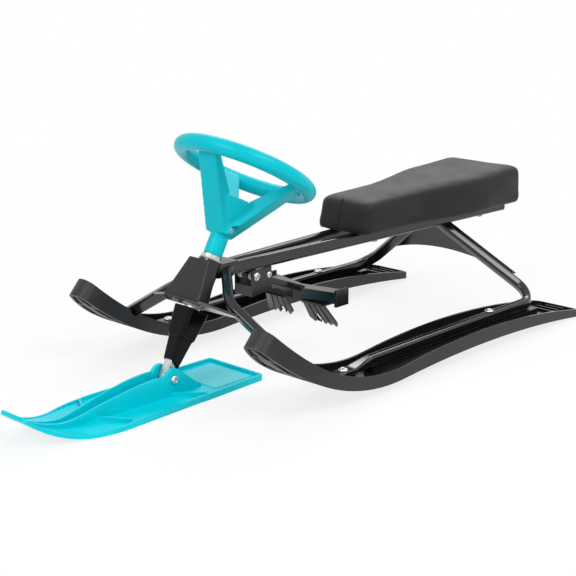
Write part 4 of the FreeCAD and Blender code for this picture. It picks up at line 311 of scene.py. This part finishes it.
def peel_group():
    """Orange peel of sprayed and stoved paint: soft low bumps, and a finer speck."""
    tree, start, end = group_with("orange_peel", [("Scale", 260.0)], ["Height", "Speck"])
    place = object_place(tree)
    soft = noise(tree, place, start.outputs["Scale"], detail=1.0)
    speck = noise(tree, place, scale=1400.0, detail=2.0)
    tree.links.new(soft.outputs["Fac"], end.inputs["Height"])
    tree.links.new(speck.outputs["Fac"], end.inputs["Speck"])
    return tree


def use_group(tree, group, **values):
    """A placed node group with its own input values."""
    item = tree.nodes.new("ShaderNodeGroup")
    item.node_tree = group
    for key, value in values.items():
        item.inputs[key.replace("_", " ")].default_value = value
    return item


# Materials


def shade(colour, factor):
    """A colour made lighter or darker."""
    return tuple(min(1.0, channel * factor) for channel in colour) + (1.0,)


def new_finish(name, **constants):
    """A material with one Principled shader whose constant sockets are set."""
    material = bpy.data.materials.new(name)
    material.use_nodes = True
    tree = material.node_tree
    shader = tree.nodes["Principled BSDF"]
    for key, value in constants.items():
        shader.inputs[key].default_value = value
    return material, tree, shader


def two_tone(tree, mask, first, second):
    """A colour that goes from the first to the second, each a colour or a socket, as the mask rises."""
    links = {"Factor": mask, "A": first, "B": second}
    return add_node(tree, "ShaderNodeMix", links, data_type="RGBA").outputs["Result"]


def drifting(tree, value, colour, dark, light):
    """A colour that goes from darker to lighter as a value rises."""
    return two_tone(tree, ranged(tree, value, 0.0, 1.0), shade(colour, dark), shade(colour, light))


def bumped(tree, height, strength, distance):
    """A normal from a height."""
    item = add_node(tree, "ShaderNodeBump", {"Height": height, "Strength": strength, "Distance": distance})
    return item.outputs["Normal"]


def connect(tree, shader, colour, rough, normal):
    """Links a shader's varying colour, roughness and normal."""
    tree.links.new(colour, shader.inputs["Base Color"])
    tree.links.new(rough, shader.inputs["Roughness"])
    tree.links.new(normal, shader.inputs["Normal"])


def moulded_finish(name, colour, groups, gloss, grain, rub, specular, depth=0.00005):
    """Moulded plastic: slow colour drift, fine grain, and rub marks that lighten and roughen it."""
    material, tree, shader = new_finish(name, **{"Specular IOR Level": specular})
    pebble = use_group(tree, groups["grain"], Scale=grain, Drift_Scale=11.0)
    rubbed = use_group(tree, groups["rub"], Scale=70.0, Amount=rub)
    drift, marks = pebble.outputs["Drift"], rubbed.outputs["Mask"]
    keep, lift = 0.75, 0.06
    pale = tuple(keep * channel + lift for channel in colour) + (1.0,)
    worn = two_tone(tree, marks, drifting(tree, drift, colour, dark=0.93, light=1.05), pale)
    spread = ranged(tree, drift, low=gloss - 0.04, high=gloss + 0.05)
    rough = calc(tree, "ADD", spread, marks, clamp=True)
    connect(tree, shader, worn, rough, bumped(tree, pebble.outputs["Height"], strength=0.35, distance=depth))
    return material


def dulled(material, mask, amount):
    """Raises a material's roughness where a mask is high."""
    tree = material.node_tree
    rough = tree.nodes["Principled BSDF"].inputs["Roughness"]
    more = calc(tree, "MULTIPLY", mask, amount)
    tree.links.new(calc(tree, "ADD", rough.links[0].from_socket, more, clamp=True), rough)


def frosted_panel(material, colour):
    """Adds the frosted panel in the front ski's rear tray: paler and duller inside a soft edged box."""
    tree = material.node_tree
    place = add_node(tree, "ShaderNodeSeparateXYZ", {0: object_place(tree)})
    far_x = calc(tree, "ABSOLUTE", calc(tree, "ADD", place.outputs["X"], -PANEL_MIDDLE_X))
    far_y = calc(tree, "ABSOLUTE", place.outputs["Y"])
    in_x = ranged(tree, far_x, 0.0, 1.0, PANEL_HALF_X + PANEL_EDGE, PANEL_HALF_X - PANEL_EDGE)
    in_y = ranged(tree, far_y, 0.0, 1.0, PANEL_HALF_Y + PANEL_EDGE, PANEL_HALF_Y - PANEL_EDGE)
    mask = calc(tree, "MULTIPLY", in_x, in_y)
    base = tree.nodes["Principled BSDF"].inputs["Base Color"]
    red, green, blue = 0.10, min(1.0, colour[1] * 1.05), min(1.0, colour[2] * 1.02)
    tree.links.new(two_tone(tree, mask, base.links[0].from_socket, (red, green, blue, 1.0)), base)
    dulled(material, mask, amount=0.2)
    return material


def satin_sides(material):
    """Makes a rear ski duller on its outer sides and curled tip than inside its tray."""
    tree = material.node_tree
    place = add_node(tree, "ShaderNodeSeparateXYZ", {0: object_place(tree)})
    off = calc(tree, "ADD", calc(tree, "ABSOLUTE", place.outputs["Y"]), -SKI_TRACK)
    far = calc(tree, "ABSOLUTE", off)
    outer = ranged(tree, far, 0.0, 1.0, SKI_HALF - SKI_SIDE_START, SKI_HALF - SKI_SIDE_END)
    tip = ranged(tree, place.outputs["X"], 0.0, 1.0, SKI_TIP_START, SKI_TIP_END)
    dulled(material, calc(tree, "MAXIMUM", outer, tip), amount=0.24)
    return material


def paint_finish(name, colour, groups, gloss):
    """Stoved powder coat: orange peel, faint speckle and a clear gloss."""
    material, tree, shader = new_finish(name, **{"Specular IOR Level": 0.56})
    peel = use_group(tree, groups["peel"], Scale=240.0)
    rubbed = use_group(tree, groups["rub"], Scale=90.0, Amount=0.22)
    speck = peel.outputs["Speck"]
    base = drifting(tree, speck, colour, dark=0.85, light=1.3)
    spread = ranged(tree, speck, low=gloss - 0.03, high=gloss + 0.04)
    rough = calc(tree, "ADD", spread, rubbed.outputs["Mask"], clamp=True)
    connect(tree, shader, base, rough, bumped(tree, peel.outputs["Height"], strength=0.18, distance=0.00012))
    return material


def vinyl_finish(name, colour, groups):
    """Seat cover: leather like cells pressed into vinyl, with painted shade in their grooves, painted light
    on their crests, and a soft sheen.
    """
    sheen = {"Specular IOR Level": 0.27, "Sheen Weight": 0.07, "Sheen Roughness": 0.45}
    material, tree, shader = new_finish(name, **sheen)
    place = object_place(tree)
    bend = noise(tree, place, scale=55.0, detail=2.0)
    bent = add_node(tree, "ShaderNodeVectorMath", {0: bend.outputs["Color"], 1: (0.004, 0.004, 0.004)},
                    operation="MULTIPLY")
    moved = add_node(tree, "ShaderNodeVectorMath", {0: place, 1: bent.outputs[0]}, operation="ADD")
    cells = add_node(tree, "ShaderNodeTexVoronoi", {"Vector": moved.outputs[0], "Scale": 420.0},
                     feature="DISTANCE_TO_EDGE")
    pebble = use_group(tree, groups["grain"], Scale=1300.0, Drift_Scale=14.0)
    creased = ranged(tree, cells.outputs["Distance"], 0.0, 1.0, from_low=0.0, from_high=0.16)
    # Painted shade darkens the cells' pressed in edges and painted light brightens their raised middles
    groove_painted_shade, crest_painted_light = shade(colour, 0.72), shade(colour, 1.08)
    rough = ranged(tree, pebble.outputs["Drift"], low=0.46, high=0.62)
    height = calc(tree, "ADD", creased, pebble.outputs["Height"])
    normal = bumped(tree, height, strength=0.5, distance=0.00018)
    connect(tree, shader, two_tone(tree, creased, groove_painted_shade, crest_painted_light), rough, normal)
    return material


def zinc_finish(name, colour, groups):
    """Zinc plate: cloudy crystals, fine drawn lines, dull spots."""
    material, tree, shader = new_finish(name, Metallic=1.0)
    pebble = use_group(tree, groups["grain"], Scale=700.0, Drift_Scale=130.0)
    rubbed = use_group(tree, groups["rub"], Scale=400.0, Amount=0.5)
    drift = pebble.outputs["Drift"]
    base = drifting(tree, drift, colour, dark=0.72, light=1.15)
    rough = calc(tree, "ADD", ranged(tree, drift, low=0.22, high=0.42), rubbed.outputs["Mask"], clamp=True)
    connect(tree, shader, base, rough, bumped(tree, pebble.outputs["Height"], strength=0.2, distance=0.00004))
    return material


FINISHES = {}


def make_finishes():
    """Every finish of the sled, by the record's material slot."""
    tone = colours()
    groups = {"grain": grain_group(), "rub": rub_group(), "peel": peel_group()}
    # Painted light: the wheel takes the turquoise darkened as painted shade and the front ski takes it
    # lightened as painted light, though both are one plastic
    wheel, ski = shade(tone.turquoise, 0.86)[:3], shade(tone.turquoise, 1.04)[:3]
    FINISHES["turquoise_plastic"] = moulded_finish(
        "turquoise_moulding_painted_shade", wheel, groups, gloss=0.30, grain=1100.0, rub=0.06, specular=0.12
    )
    FINISHES["front_ski"] = frosted_panel(
        moulded_finish("turquoise_ski_painted_light", ski, groups, gloss=0.32, grain=1100.0, rub=0.08, specular=0.14),
        tone.turquoise,
    )
    FINISHES["ski_plastic"] = satin_sides(
        moulded_finish("black_runner", tone.runner, groups, gloss=0.18, grain=900.0, rub=0.25, specular=0.42)
    )
    FINISHES["cover_plastic"] = moulded_finish(
        "gloss_boot", tone.boot, groups, gloss=0.16, grain=1500.0, rub=0.06, specular=0.13, depth=0.00002
    )
    FINISHES["fairing_plastic"] = moulded_finish(
        "satin_shield", tone.shield, groups, gloss=0.42, grain=1300.0, rub=0.12, specular=0.34
    )
    FINISHES["bush_plastic"] = moulded_finish(
        "nylon_bush", tone.nylon, groups, gloss=0.45, grain=900.0, rub=0.1, specular=0.5
    )
    FINISHES["frame_paint"] = paint_finish("powder_coat", tone.paint, groups, gloss=0.15)
    FINISHES["seat_vinyl"] = vinyl_finish("seat_cover", tone.vinyl, groups)
    FINISHES["zinc"] = zinc_finish("zinc_plate", tone.zinc, groups)


# Mesh helpers


def linked(name, data):
    """A new object at the origin, in the scene."""
    item = bpy.data.objects.new(name, data)
    bpy.context.scene.collection.objects.link(item)
    return item


def vertex_values(mesh, what="co"):
    """A mesh's points, or their normals, as an array of shape (n, 3)."""
    values = np.empty(len(mesh.vertices) * 3)
    mesh.vertices.foreach_get(what, values)
    return values.reshape(-1, 3)


def edge_ends(mesh):
    """The numbers of the points at the two ends of every edge, as two arrays."""
    ends = np.empty(len(mesh.edges) * 2, np.int32)
    mesh.edges.foreach_get("vertices", ends)
    return ends.reshape(-1, 2).T


def all_smooth(mesh):
    """Smooth shading on every face."""
    mesh.polygons.foreach_set("use_smooth", np.ones(len(mesh.polygons), bool))


def smooth_by_angle(mesh, degrees):
    """Smooth shading that breaks at edges sharper than an angle."""
    all_smooth(mesh)
    mesh.set_sharp_from_angle(angle=math.radians(degrees))


def mesh_from_grid(name, points, closed=False):
    """A mesh over a grid of points, shape (rows, columns, 3); if closed, its rows are rings with end caps."""
    rows, columns = points.shape[:2]
    row = np.arange(rows - 1)
    column = np.arange(columns if closed else columns - 1)
    first, second = np.meshgrid(row, column, indexing="ij")
    ahead, beside = first + 1, (second + 1) % columns
    corners = ((first, second), (ahead, second), (ahead, beside), (first, beside))
    quads = np.stack([across * columns + along for across, along in corners], -1).reshape(-1, 4).tolist()
    if closed:
        quads.append(list(range(columns))[::-1])
        quads.append(list(range((rows - 1) * columns, rows * columns)))
    mesh = bpy.data.meshes.new(name)
    mesh.from_pydata(points.reshape(-1, 3).tolist(), [], quads)
    work = bmesh.new()
    work.from_mesh(mesh)
    bmesh.ops.recalc_face_normals(work, faces=work.faces)
    work.to_mesh(mesh)
    work.free()
    all_smooth(mesh)
    return mesh


def merged_mesh(node, flat_angle=None):
    """A copy of a CAD node's mesh with its triangles joined, and faces that meet within an angle made one."""
    mesh = frame["nodes"][node].data.copy()
    mesh.name = node + "_look"
    work = bmesh.new()
    work.from_mesh(mesh)
    bmesh.ops.remove_doubles(work, verts=work.verts, dist=JOIN_DISTANCE)
    bmesh.ops.dissolve_degenerate(work, edges=work.edges, dist=SLIVER_DISTANCE)
    work.to_mesh(mesh)
    if flat_angle is not None:
        work.clear()
        work.from_mesh(mesh)
        limit = math.radians(flat_angle)
        bmesh.ops.dissolve_limit(work, angle_limit=limit, verts=work.verts, edges=work.edges)
        work.to_mesh(mesh)
    work.free()
    return mesh


def finished_mesh(piece, name):
    """The mesh that a piece's modifiers give."""
    graph = bpy.context.evaluated_depsgraph_get()
    mesh = bpy.data.meshes.new_from_object(piece.evaluated_get(graph))
    mesh.name = name
    return mesh


def new_piece(name, mesh, body, slot, finish=None):
    """An object that rides on a body, if one is named, and has its slot's finish or a finish of its own."""
    piece = linked(name, mesh)
    mesh.materials.clear()
    mesh.materials.append(FINISHES[finish or slot])
    if body:
        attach(piece, body)
    return piece


def look_of(node, mesh, finish=None):
    """A piece that is shown in place of a CAD node, on the node's body and with its slot."""
    piece = new_piece(node + "_look", mesh, BODY_OF[node], SLOT_OF[node], finish)
    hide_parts(node)
    return piece


def remeshed(source, voxel, steps):
    """Gives an object modifiers that lay an even grid over its form and smooth it."""
    remesh = source.modifiers.new("grid", "REMESH")
    remesh.mode = "VOXEL"
    remesh.voxel_size = voxel
    smooth = source.modifiers.new("round", "SMOOTH")
    smooth.factor = SMOOTH_SHARE
    smooth.iterations = steps


def smooth_copy(node, degrees=SMOOTH_ANGLE):
    """A CAD node shown with smooth curves: its joined mesh, shaded by angle."""
    mesh = merged_mesh(node)
    smooth_by_angle(mesh, degrees)
    return look_of(node, mesh)


def bevelled_copy(node, width, degrees=SMOOTH_ANGLE, finish=None):
    """A CAD node with its flat faces joined and its sharp edges rounded off."""
    mesh = merged_mesh(node, FLAT_ANGLE)
    smooth_by_angle(mesh, degrees)
    piece = look_of(node, mesh, finish)
    bevel = piece.modifiers.new("edge", "BEVEL")
    bevel.width = width
    bevel.segments = BEVEL_STEPS
    bevel.limit_method = "ANGLE"
    bevel.angle_limit = math.radians(degrees)
    bevel.harden_normals = True
    return piece


def moulded_copy(node, voxel, steps):
    """A CAD node as a moulding: remeshed on an even grid and smoothed, so that its edges are rounded."""
    source = linked(node + "_source", merged_mesh(node))
    remeshed(source, voxel, steps)
    result = finished_mesh(source, node + "_look")
    bpy.data.objects.remove(source)
    all_smooth(result)
    return look_of(node, result)


def tube_points(path, radius, around=10):
    """A round tube along a path: each point's circle lies across the path's direction.

    path has shape (n, 3) and radius n values; the circle is radius * (cos a, sin a) in the plane that
    the direction leaves, kept steady by one reference line.
    """
    path = np.asarray(path, float)
    radius = np.broadcast_to(np.asarray(radius, float), len(path))
    along = np.gradient(path, axis=0)
    along /= np.linalg.norm(along, axis=1, keepdims=True)
    steady = np.array([0.0, 0.0, 1.0] if abs(along[:, 2]).max() < STEEP else [0.0, 1.0, 0.0])
    side = np.cross(steady, along)
    side /= np.linalg.norm(side, axis=1, keepdims=True)
    up = np.cross(along, side)
    angle = np.linspace(0, 2 * math.pi, around, endpoint=False)
    ring = np.cos(angle)[None, :, None] * side[:, None, :] + np.sin(angle)[None, :, None] * up[:, None, :]
    return path[:, None, :] + radius[:, None, None] * ring


def piece_numbers(mesh):
    """A number for each point of a mesh, the same for all points that edges join.

    Each point starts with its own number. At each step both ends of every edge take the lower of their
    two numbers, and then each point takes the number held by the point that its number names.
    """
    first, second = edge_ends(mesh)
    number = np.arange(len(mesh.vertices))
    while True:
        low = np.minimum(number[first], number[second])
        lower = number.copy()
        np.minimum.at(lower, first, low)
        np.minimum.at(lower, second, low)
        lower = lower[lower]
        if np.array_equal(lower, number):
            return number
        number = lower


def socket_cutters(mesh):
    """Hexagon prisms for the drive sockets of a node's bolts, as points and faces.

    Each loose piece's long axis is the line of greatest spread of its points; the head is the end
    whose points lie farther from that line, and the prism stands in the middle of its crown.
    """
    cloud = vertex_values(mesh)
    number = piece_numbers(mesh)
    turn = np.arange(SOCKET_SIDES)
    after = (turn + 1) % SOCKET_SIDES
    sides = np.stack([turn, after, after + SOCKET_SIDES, turn + SOCKET_SIDES], -1).tolist()
    prism = [turn[::-1].tolist(), (turn + SOCKET_SIDES).tolist()] + sides
    angle = turn * 2 * math.pi / SOCKET_SIDES
    points, faces = [], []
    for bolt in np.unique(number):
        island = cloud[number == bolt]
        middle = (island.min(0) + island.max(0)) / 2
        axis = np.linalg.svd(island - island.mean(0))[2][0]
        along = (island - middle) @ axis
        away = np.linalg.norm(island - middle - along[:, None] * axis, axis=1)
        if away[along < 0].max() > away[along > 0].max():
            axis, along = -axis, -along
        crown = middle + axis * along.max()
        radius = SOCKET_RADIUS * away.max()
        depth = SOCKET_DEPTH * away.max()
        side = np.cross(axis, SKEW_LINE)
        side /= np.linalg.norm(side)
        ring = radius * (np.cos(angle)[:, None] * side + np.sin(angle)[:, None] * np.cross(axis, side))
        base = len(points)
        points += (crown - axis * depth + ring).tolist() + (crown + axis * depth + ring).tolist()
        faces += [[base + corner for corner in face] for face in prism]
    return points, faces


def socketed_copy(node):
    """A CAD bolt with a hexagon socket cut into each head."""
    mesh = merged_mesh(node)
    points, faces = socket_cutters(mesh)
    cutter_mesh = bpy.data.meshes.new(node + "_sockets")
    cutter_mesh.from_pydata(points, [], faces)
    cutter = linked(node + "_sockets", cutter_mesh)
    source = linked(node + "_source", mesh)
    cut = source.modifiers.new("socket", "BOOLEAN")
    cut.operation = "DIFFERENCE"
    cut.solver = "EXACT"
    cut.object = cutter
    result = finished_mesh(source, node + "_look")
    bpy.data.objects.remove(source)
    bpy.data.objects.remove(cutter)
    smooth_by_angle(result, SMOOTH_ANGLE)
    return look_of(node, result)


# Operators, one for each piece or group of like pieces


class SLED_OT_frame(bpy.types.Operator):
    """Tubes, plates and the frame's small pieces, with smooth bends and rounded sheet edges"""

    bl_idname = "sled.frame"
    bl_label = "Frame"

    def execute(self, context):
        for node in ("left_side_tube", "right_side_tube", "left_rear_tube", "right_rear_tube", "head_tube"):
            smooth_copy(node, BEND_ANGLE)
        for node in ("front_cross_plate", "neck_box", "rear_gusset", "left_foot_plate", "right_foot_plate",
                     "brake_bracket", "seat_straps"):
            bevelled_copy(node, sizes().sheet_bevel)
        smooth_copy("rail_end_plugs")
        return {"FINISHED"}


class SLED_OT_rear_skis(bpy.types.Operator):
    """The black moulded rear skis"""

    bl_idname = "sled.rear_skis"
    bl_label = "Rear skis"

    def execute(self, context):
        for node in ("left_rear_ski", "right_rear_ski"):
            bevelled_copy(node, sizes().mould_bevel, BEND_ANGLE)
        return {"FINISHED"}


class SLED_OT_front_ski(bpy.types.Operator):
    """The turquoise steering ski"""

    bl_idname = "sled.front_ski"
    bl_label = "Front ski"

    def execute(self, context):
        bevelled_copy("front_ski", sizes().mould_bevel, BEND_ANGLE, "front_ski")
        return {"FINISHED"}


class SLED_OT_column(bpy.types.Operator):
    """Boot, shield and wheel on the steering column"""

    bl_idname = "sled.column"
    bl_label = "Steering column"

    def execute(self, context):
        moulded_copy("steering_wheel", sizes().wheel_voxel, sizes().wheel_steps)
        moulded_copy("steering_cover", sizes().boot_voxel, sizes().boot_steps)
        bevelled_copy("front_fairing", sizes().shell_bevel, SHIELD_ANGLE)
        for node in ("steering_shaft", "steering_yoke", "upper_bush", "lower_bush", "upper_thrust_washer",
                     "lower_thrust_washer", "pivot_sleeve"):
            smooth_copy(node)
        return {"FINISHED"}


class SLED_OT_seat(bpy.types.Operator):
    """The padded seat: a cushion filled by cloth simulation, with a folded seam on its front face"""

    bl_idname = "sled.seat"
    bl_label = "Seat"

    def execute(self, context):
        cushion = self.cushion()
        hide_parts("seat_cushion")
        bevelled_copy("seat_board", sizes().sheet_bevel)
        self.seam(cushion)
        return {"FINISHED"}

    def seam(self, cushion):
        """The folded seam down the front face: a thin tube laid on the cover, its ends drawn in.

        At each height x is a mean over the cover's points beside the seam. A point counts by
        exp(-(height off / band)^2) * exp(-distance behind the foremost point / reach).
        """
        cover = finished_mesh(cushion, "cover_for_seam")
        points = vertex_values(cover)
        beside = np.abs(points[:, 1] - SEAM_Y) < sizes().seat_voxel
        near = points[beside & (points[:, 0] > points[:, 0].max() - SEAM_SEARCH)]
        heights = np.linspace(near[:, 2].min() + SEAM_FOOT, near[:, 2].max() - SEAM_TOP, SEAM_POINTS)
        apart = np.abs(near[:, 2][None, :] - heights[:, None])
        behind = near[:, 0][None, :] - near[:, 0].max()
        weight = np.exp(-(apart / SEAM_BAND) ** 2) * np.exp(behind / SEAM_REACH)
        place = (weight * near[:, 0][None, :]).sum(1) / weight.sum(1)
        path = np.stack([place, np.full_like(heights, SEAM_Y), heights], -1)
        share = np.linspace(0, 1, len(heights))
        thick = np.clip(np.minimum(share, 1 - share) * SEAM_TAPER, SEAM_TIP, 1)
        tube = tube_points(path, sizes().seam_radius * np.sqrt(thick))
        mesh = mesh_from_grid("seat_seam", tube, closed=True)
        bpy.data.meshes.remove(cover)
        return new_piece("seat_seam", mesh, BODY_OF["seat_cushion"], "seat_vinyl")

    def cushion(self):
        """The CAD cushion's cover on an even grid, filled outward; the rim round the board stays put.

        The cover is free by t * t * (3 - 2 t), where t goes from 0 at the rim's height to 1 above its fade.
        """
        source = linked("cushion_source", merged_mesh("seat_cushion"))
        target = linked("cushion_form", merged_mesh("seat_cushion"))
        remeshed(source, sizes().seat_voxel, SEAT_EVEN_STEPS)
        onto = source.modifiers.new("onto", "SHRINKWRAP")
        onto.wrap_method = "NEAREST_SURFACEPOINT"
        onto.target = target
        start = finished_mesh(source, "seat_cushion_cover")
        for item in (source, target):
            bpy.data.objects.remove(item)
        form = vertex_values(start)
        free = np.clip((form[:, 2] - form[:, 2].min() - RIM_HEIGHT) / RIM_FADE, 0, 1)[:, None]
        free = free * free * (3 - 2 * free)
        middle = (form.min(0) + form.max(0)) / 2
        half = (form.max(0) - form.min(0)) / 2
        rest = form - free * sizes().seat_slack * (form - middle) / half
        start.vertices.foreach_set("co", rest.ravel())
        outward = vertex_values(start, "normal")
        swell = ((self.filled(start) - rest) * outward).sum(1, keepdims=True)
        swell = self.evened(start, np.clip(swell, 0.0, sizes().seat_swell))
        form = rest + free * swell * outward
        start.vertices.foreach_set("co", form.ravel())
        all_smooth(start)
        piece = new_piece("seat_cushion_cover", start, BODY_OF["seat_cushion"], "seat_vinyl")
        fine = piece.modifiers.new("fine", "SUBSURF")
        fine.levels = 1
        fine.render_levels = 1
        return piece

    def evened(self, mesh, move):
        """A swell spread over a mesh: at each step a point moves half way to its neighbours' mean."""
        first, second = edge_ends(mesh)
        count = np.bincount(np.concatenate([first, second]), minlength=len(move))[:, None]
        for _ in range(sizes().seat_spread):
            total = np.zeros_like(move)
            np.add.at(total, first, move[second])
            np.add.at(total, second, move[first])
            move = (move + total / count) / 2
        return move

    def filled(self, mesh):
        """Where the cover's points go when pressure fills it for some frames, with no weight."""
        body = linked("cushion_cloth", mesh.copy())
        cloth = body.modifiers.new("fill", "CLOTH")
        cloth.settings.quality = 5
        cloth.settings.mass = 0.25
        cloth.settings.tension_stiffness = 40
        cloth.settings.compression_stiffness = 40
        cloth.settings.shear_stiffness = 20
        cloth.settings.bending_stiffness = 2
        cloth.settings.use_pressure = True
        cloth.settings.uniform_pressure_force = sizes().seat_pressure
        cloth.settings.effector_weights.gravity = 0
        cloth.point_cache.frame_start = 1
        cloth.point_cache.frame_end = FILL_FRAMES
        scene = bpy.context.scene
        for number in range(1, FILL_FRAMES + 1):
            scene.frame_set(number)
        moved = vertex_values(finished_mesh(body, "cushion_filled"))
        scene.frame_set(1)
        bpy.data.objects.remove(body)
        return moved


class SLED_OT_brakes(bpy.types.Operator):
    """Foot brakes: levers, toothed claws and return springs"""

    bl_idname = "sled.brakes"
    bl_label = "Foot brakes"

    def execute(self, context):
        for node in ("left_brake_lever", "right_brake_lever", "left_brake_claw", "right_brake_claw"):
            bevelled_copy(node, sizes().sheet_bevel)
        for brake in ("left_brake", "right_brake"):
            self.spring(brake)
        return {"FINISHED"}

    def spring(self, brake):
        """A spring: its joined CAD mesh, shaded smooth, on no body and with its place baked in."""
        node = brake + "_spring"
        mesh = merged_mesh(node)
        smooth_by_angle(mesh, SPRING_ANGLE)
        piece = new_piece(node + "_look", mesh, None, SLOT_OF[node])
        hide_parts(node)
        across = vertex_values(mesh)[:, 1]
        far = np.abs(across).argmax()
        near = np.abs(across).argmin()
        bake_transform(piece)


class SLED_OT_fasteners(bpy.types.Operator):
    """Bolts, nuts and screws"""

    bl_idname = "sled.fasteners"
    bl_label = "Fasteners"

    def execute(self, context):
        for node in ("front_ski_bolt", "wheel_bolt", "brake_pivot_bolt", "brake_stop_bolt", "ski_bolts",
                     "left_claw_bolt", "right_claw_bolt", "seat_bolts", "fairing_screws"):
            socketed_copy(node)
        for node, slot in SLOT_OF.items():
            if slot == "zinc" and not frame["nodes"][node].hide_render:
                smooth_copy(node)
        return {"FINISHED"}


class SLED_OT_stage(bpy.types.Operator):
    """Floor, lights, background and the camera"""

    bl_idname = "sled.stage"
    bl_label = "Stage"

    def execute(self, context):
        self.floor()
        self.lights()
        self.sky()
        self.camera()
        context.scene.view_settings.view_transform = "Standard"
        return {"FINISHED"}

    def floor(self):
        """A wide flat floor at the height of the soles, which fades to white away from the sled."""
        span = np.linspace(-FLOOR_HALF, FLOOR_HALF, FLOOR_LINES)
        across, along = np.meshgrid(span, span, indexing="ij")
        points = np.stack([across, along, np.full_like(across, FLOOR_LEVEL)], -1)
        floor = linked("studio_floor", mesh_from_grid("studio_floor", points))
        material = bpy.data.materials.new("studio_floor")
        material.use_nodes = True
        tree = material.node_tree
        tree.nodes.remove(tree.nodes["Principled BSDF"])
        matt = add_node(tree, "ShaderNodeBsdfDiffuse", {"Color": FLOOR_GREY})
        glow = add_node(tree, "ShaderNodeEmission", {"Color": WHITE, "Strength": 1.0})
        away = add_node(tree, "ShaderNodeVectorMath", {0: object_place(tree)}, operation="LENGTH")
        fade = ranged(tree, away.outputs["Value"], FLOOR_FADE_LOW, 1.0, FLOOR_FADE_START, FLOOR_FADE_END,
                      "SMOOTHSTEP")
        share = calc(tree, "MULTIPLY", seen_rays(tree), fade)
        mix = add_node(tree, "ShaderNodeMixShader",
                       {0: share, 1: matt.outputs["BSDF"], 2: glow.outputs["Emission"]})
        tree.links.new(mix.outputs[0], tree.nodes["Material Output"].inputs["Surface"])
        floor.data.materials.append(material)

    def lights(self):
        """A broad key light on the camera's right, a fill on its left and a strip behind the sled."""
        for name, place, aim, power, width, height in (
            ("key", (0.0, 2.4, 2.7), (0.0, 0.0, 0.2), 60.0, 2.4, 1.0),
            ("front", (3.0, 0.2, 2.2), (0.1, 0.0, 0.2), 44.0, 1.4, 1.4),
            ("back", (-2.4, -1.6, 2.6), (0.0, 0.0, 0.2), 40.0, 2.4, 0.8),
        ):
            lamp = bpy.data.lights.new(name, "AREA")
            lamp.shape = "RECTANGLE"
            lamp.size = width
            lamp.size_y = height
            lamp.energy = power
            item = linked(name, lamp)
            item.location = place
            item.rotation_euler = (Vector(aim) - Vector(place)).to_track_quat("-Z", "Y").to_euler()

    def sky(self):
        """White to the camera and in reflections, a plain even fill elsewhere."""
        world = bpy.data.worlds.new("studio")
        bpy.context.scene.world = world
        world.use_nodes = True
        tree = world.node_tree
        fill = bpy.context.scene.sled_stage.sky_fill
        back = tree.nodes["Background"]
        back.inputs["Color"].default_value = WHITE
        tree.links.new(ranged(tree, seen_rays(tree), fill, 1.0, 0.0, 1.0), back.inputs["Strength"])

    def camera(self):
        """The photograph's camera: forward from yaw and pitch, right across it, up square to both."""
        stage = bpy.context.scene.sled_stage
        yaw, pitch = stage.camera_yaw, stage.camera_pitch
        ahead = Vector((math.cos(pitch) * math.cos(yaw), math.cos(pitch) * math.sin(yaw), math.sin(pitch)))
        right = ahead.cross(Vector((0, 0, 1))).normalized()
        up = right.cross(ahead)
        lens = bpy.data.cameras.new("camera")
        lens.sensor_width = SENSOR_WIDTH
        lens.lens = stage.focal_length
        lens.shift_x = stage.camera_shift
        lens.clip_end = VIEW_END
        item = linked("camera", lens)
        turn = Matrix((right, up, -ahead)).transposed().to_4x4()
        item.matrix_world = Matrix.Translation(Vector(stage.camera_place)) @ turn
        bpy.context.scene.camera = item


class SLED_PT_panel(bpy.types.Panel):
    """The sled's pieces in the sidebar"""

    bl_idname = "SLED_PT_panel"
    bl_label = "Steering Sled"
    bl_space_type = "VIEW_3D"
    bl_region_type = "UI"
    bl_category = "Sled"

    def draw(self, context):
        scene = context.scene
        for group in (scene.sled_sizes, scene.sled_colours, scene.sled_stage):
            box = self.layout.box()
            for key in group.bl_rna.properties.keys():
                if key not in ("rna_type", "name"):
                    box.prop(group, key)
        for name in STEPS:
            self.layout.operator("sled." + name)


STEPS = ["frame", "rear_skis", "front_ski", "column", "seat", "brakes", "fasteners", "stage"]
CLASSES = [
    SledSizes, SledColours, SledStage, SLED_OT_frame, SLED_OT_rear_skis, SLED_OT_front_ski, SLED_OT_column,
    SLED_OT_seat, SLED_OT_brakes, SLED_OT_fasteners, SLED_OT_stage, SLED_PT_panel,
]


def register():
    """Adds the classes and the scene's property groups."""
    for item in CLASSES:
        bpy.utils.register_class(item)
    bpy.types.Scene.sled_sizes = PointerProperty(type=SledSizes)
    bpy.types.Scene.sled_colours = PointerProperty(type=SledColours)
    bpy.types.Scene.sled_stage = PointerProperty(type=SledStage)


def unregister():
    """Takes them away again."""
    del bpy.types.Scene.sled_stage
    del bpy.types.Scene.sled_colours
    del bpy.types.Scene.sled_sizes
    for item in reversed(CLASSES):
        bpy.utils.unregister_class(item)


def main():
    """Builds the sled step by step."""
    register()
    make_finishes()
    for name in STEPS:
        getattr(bpy.ops.sled, name)()


if __name__ == "__main__":
    main()
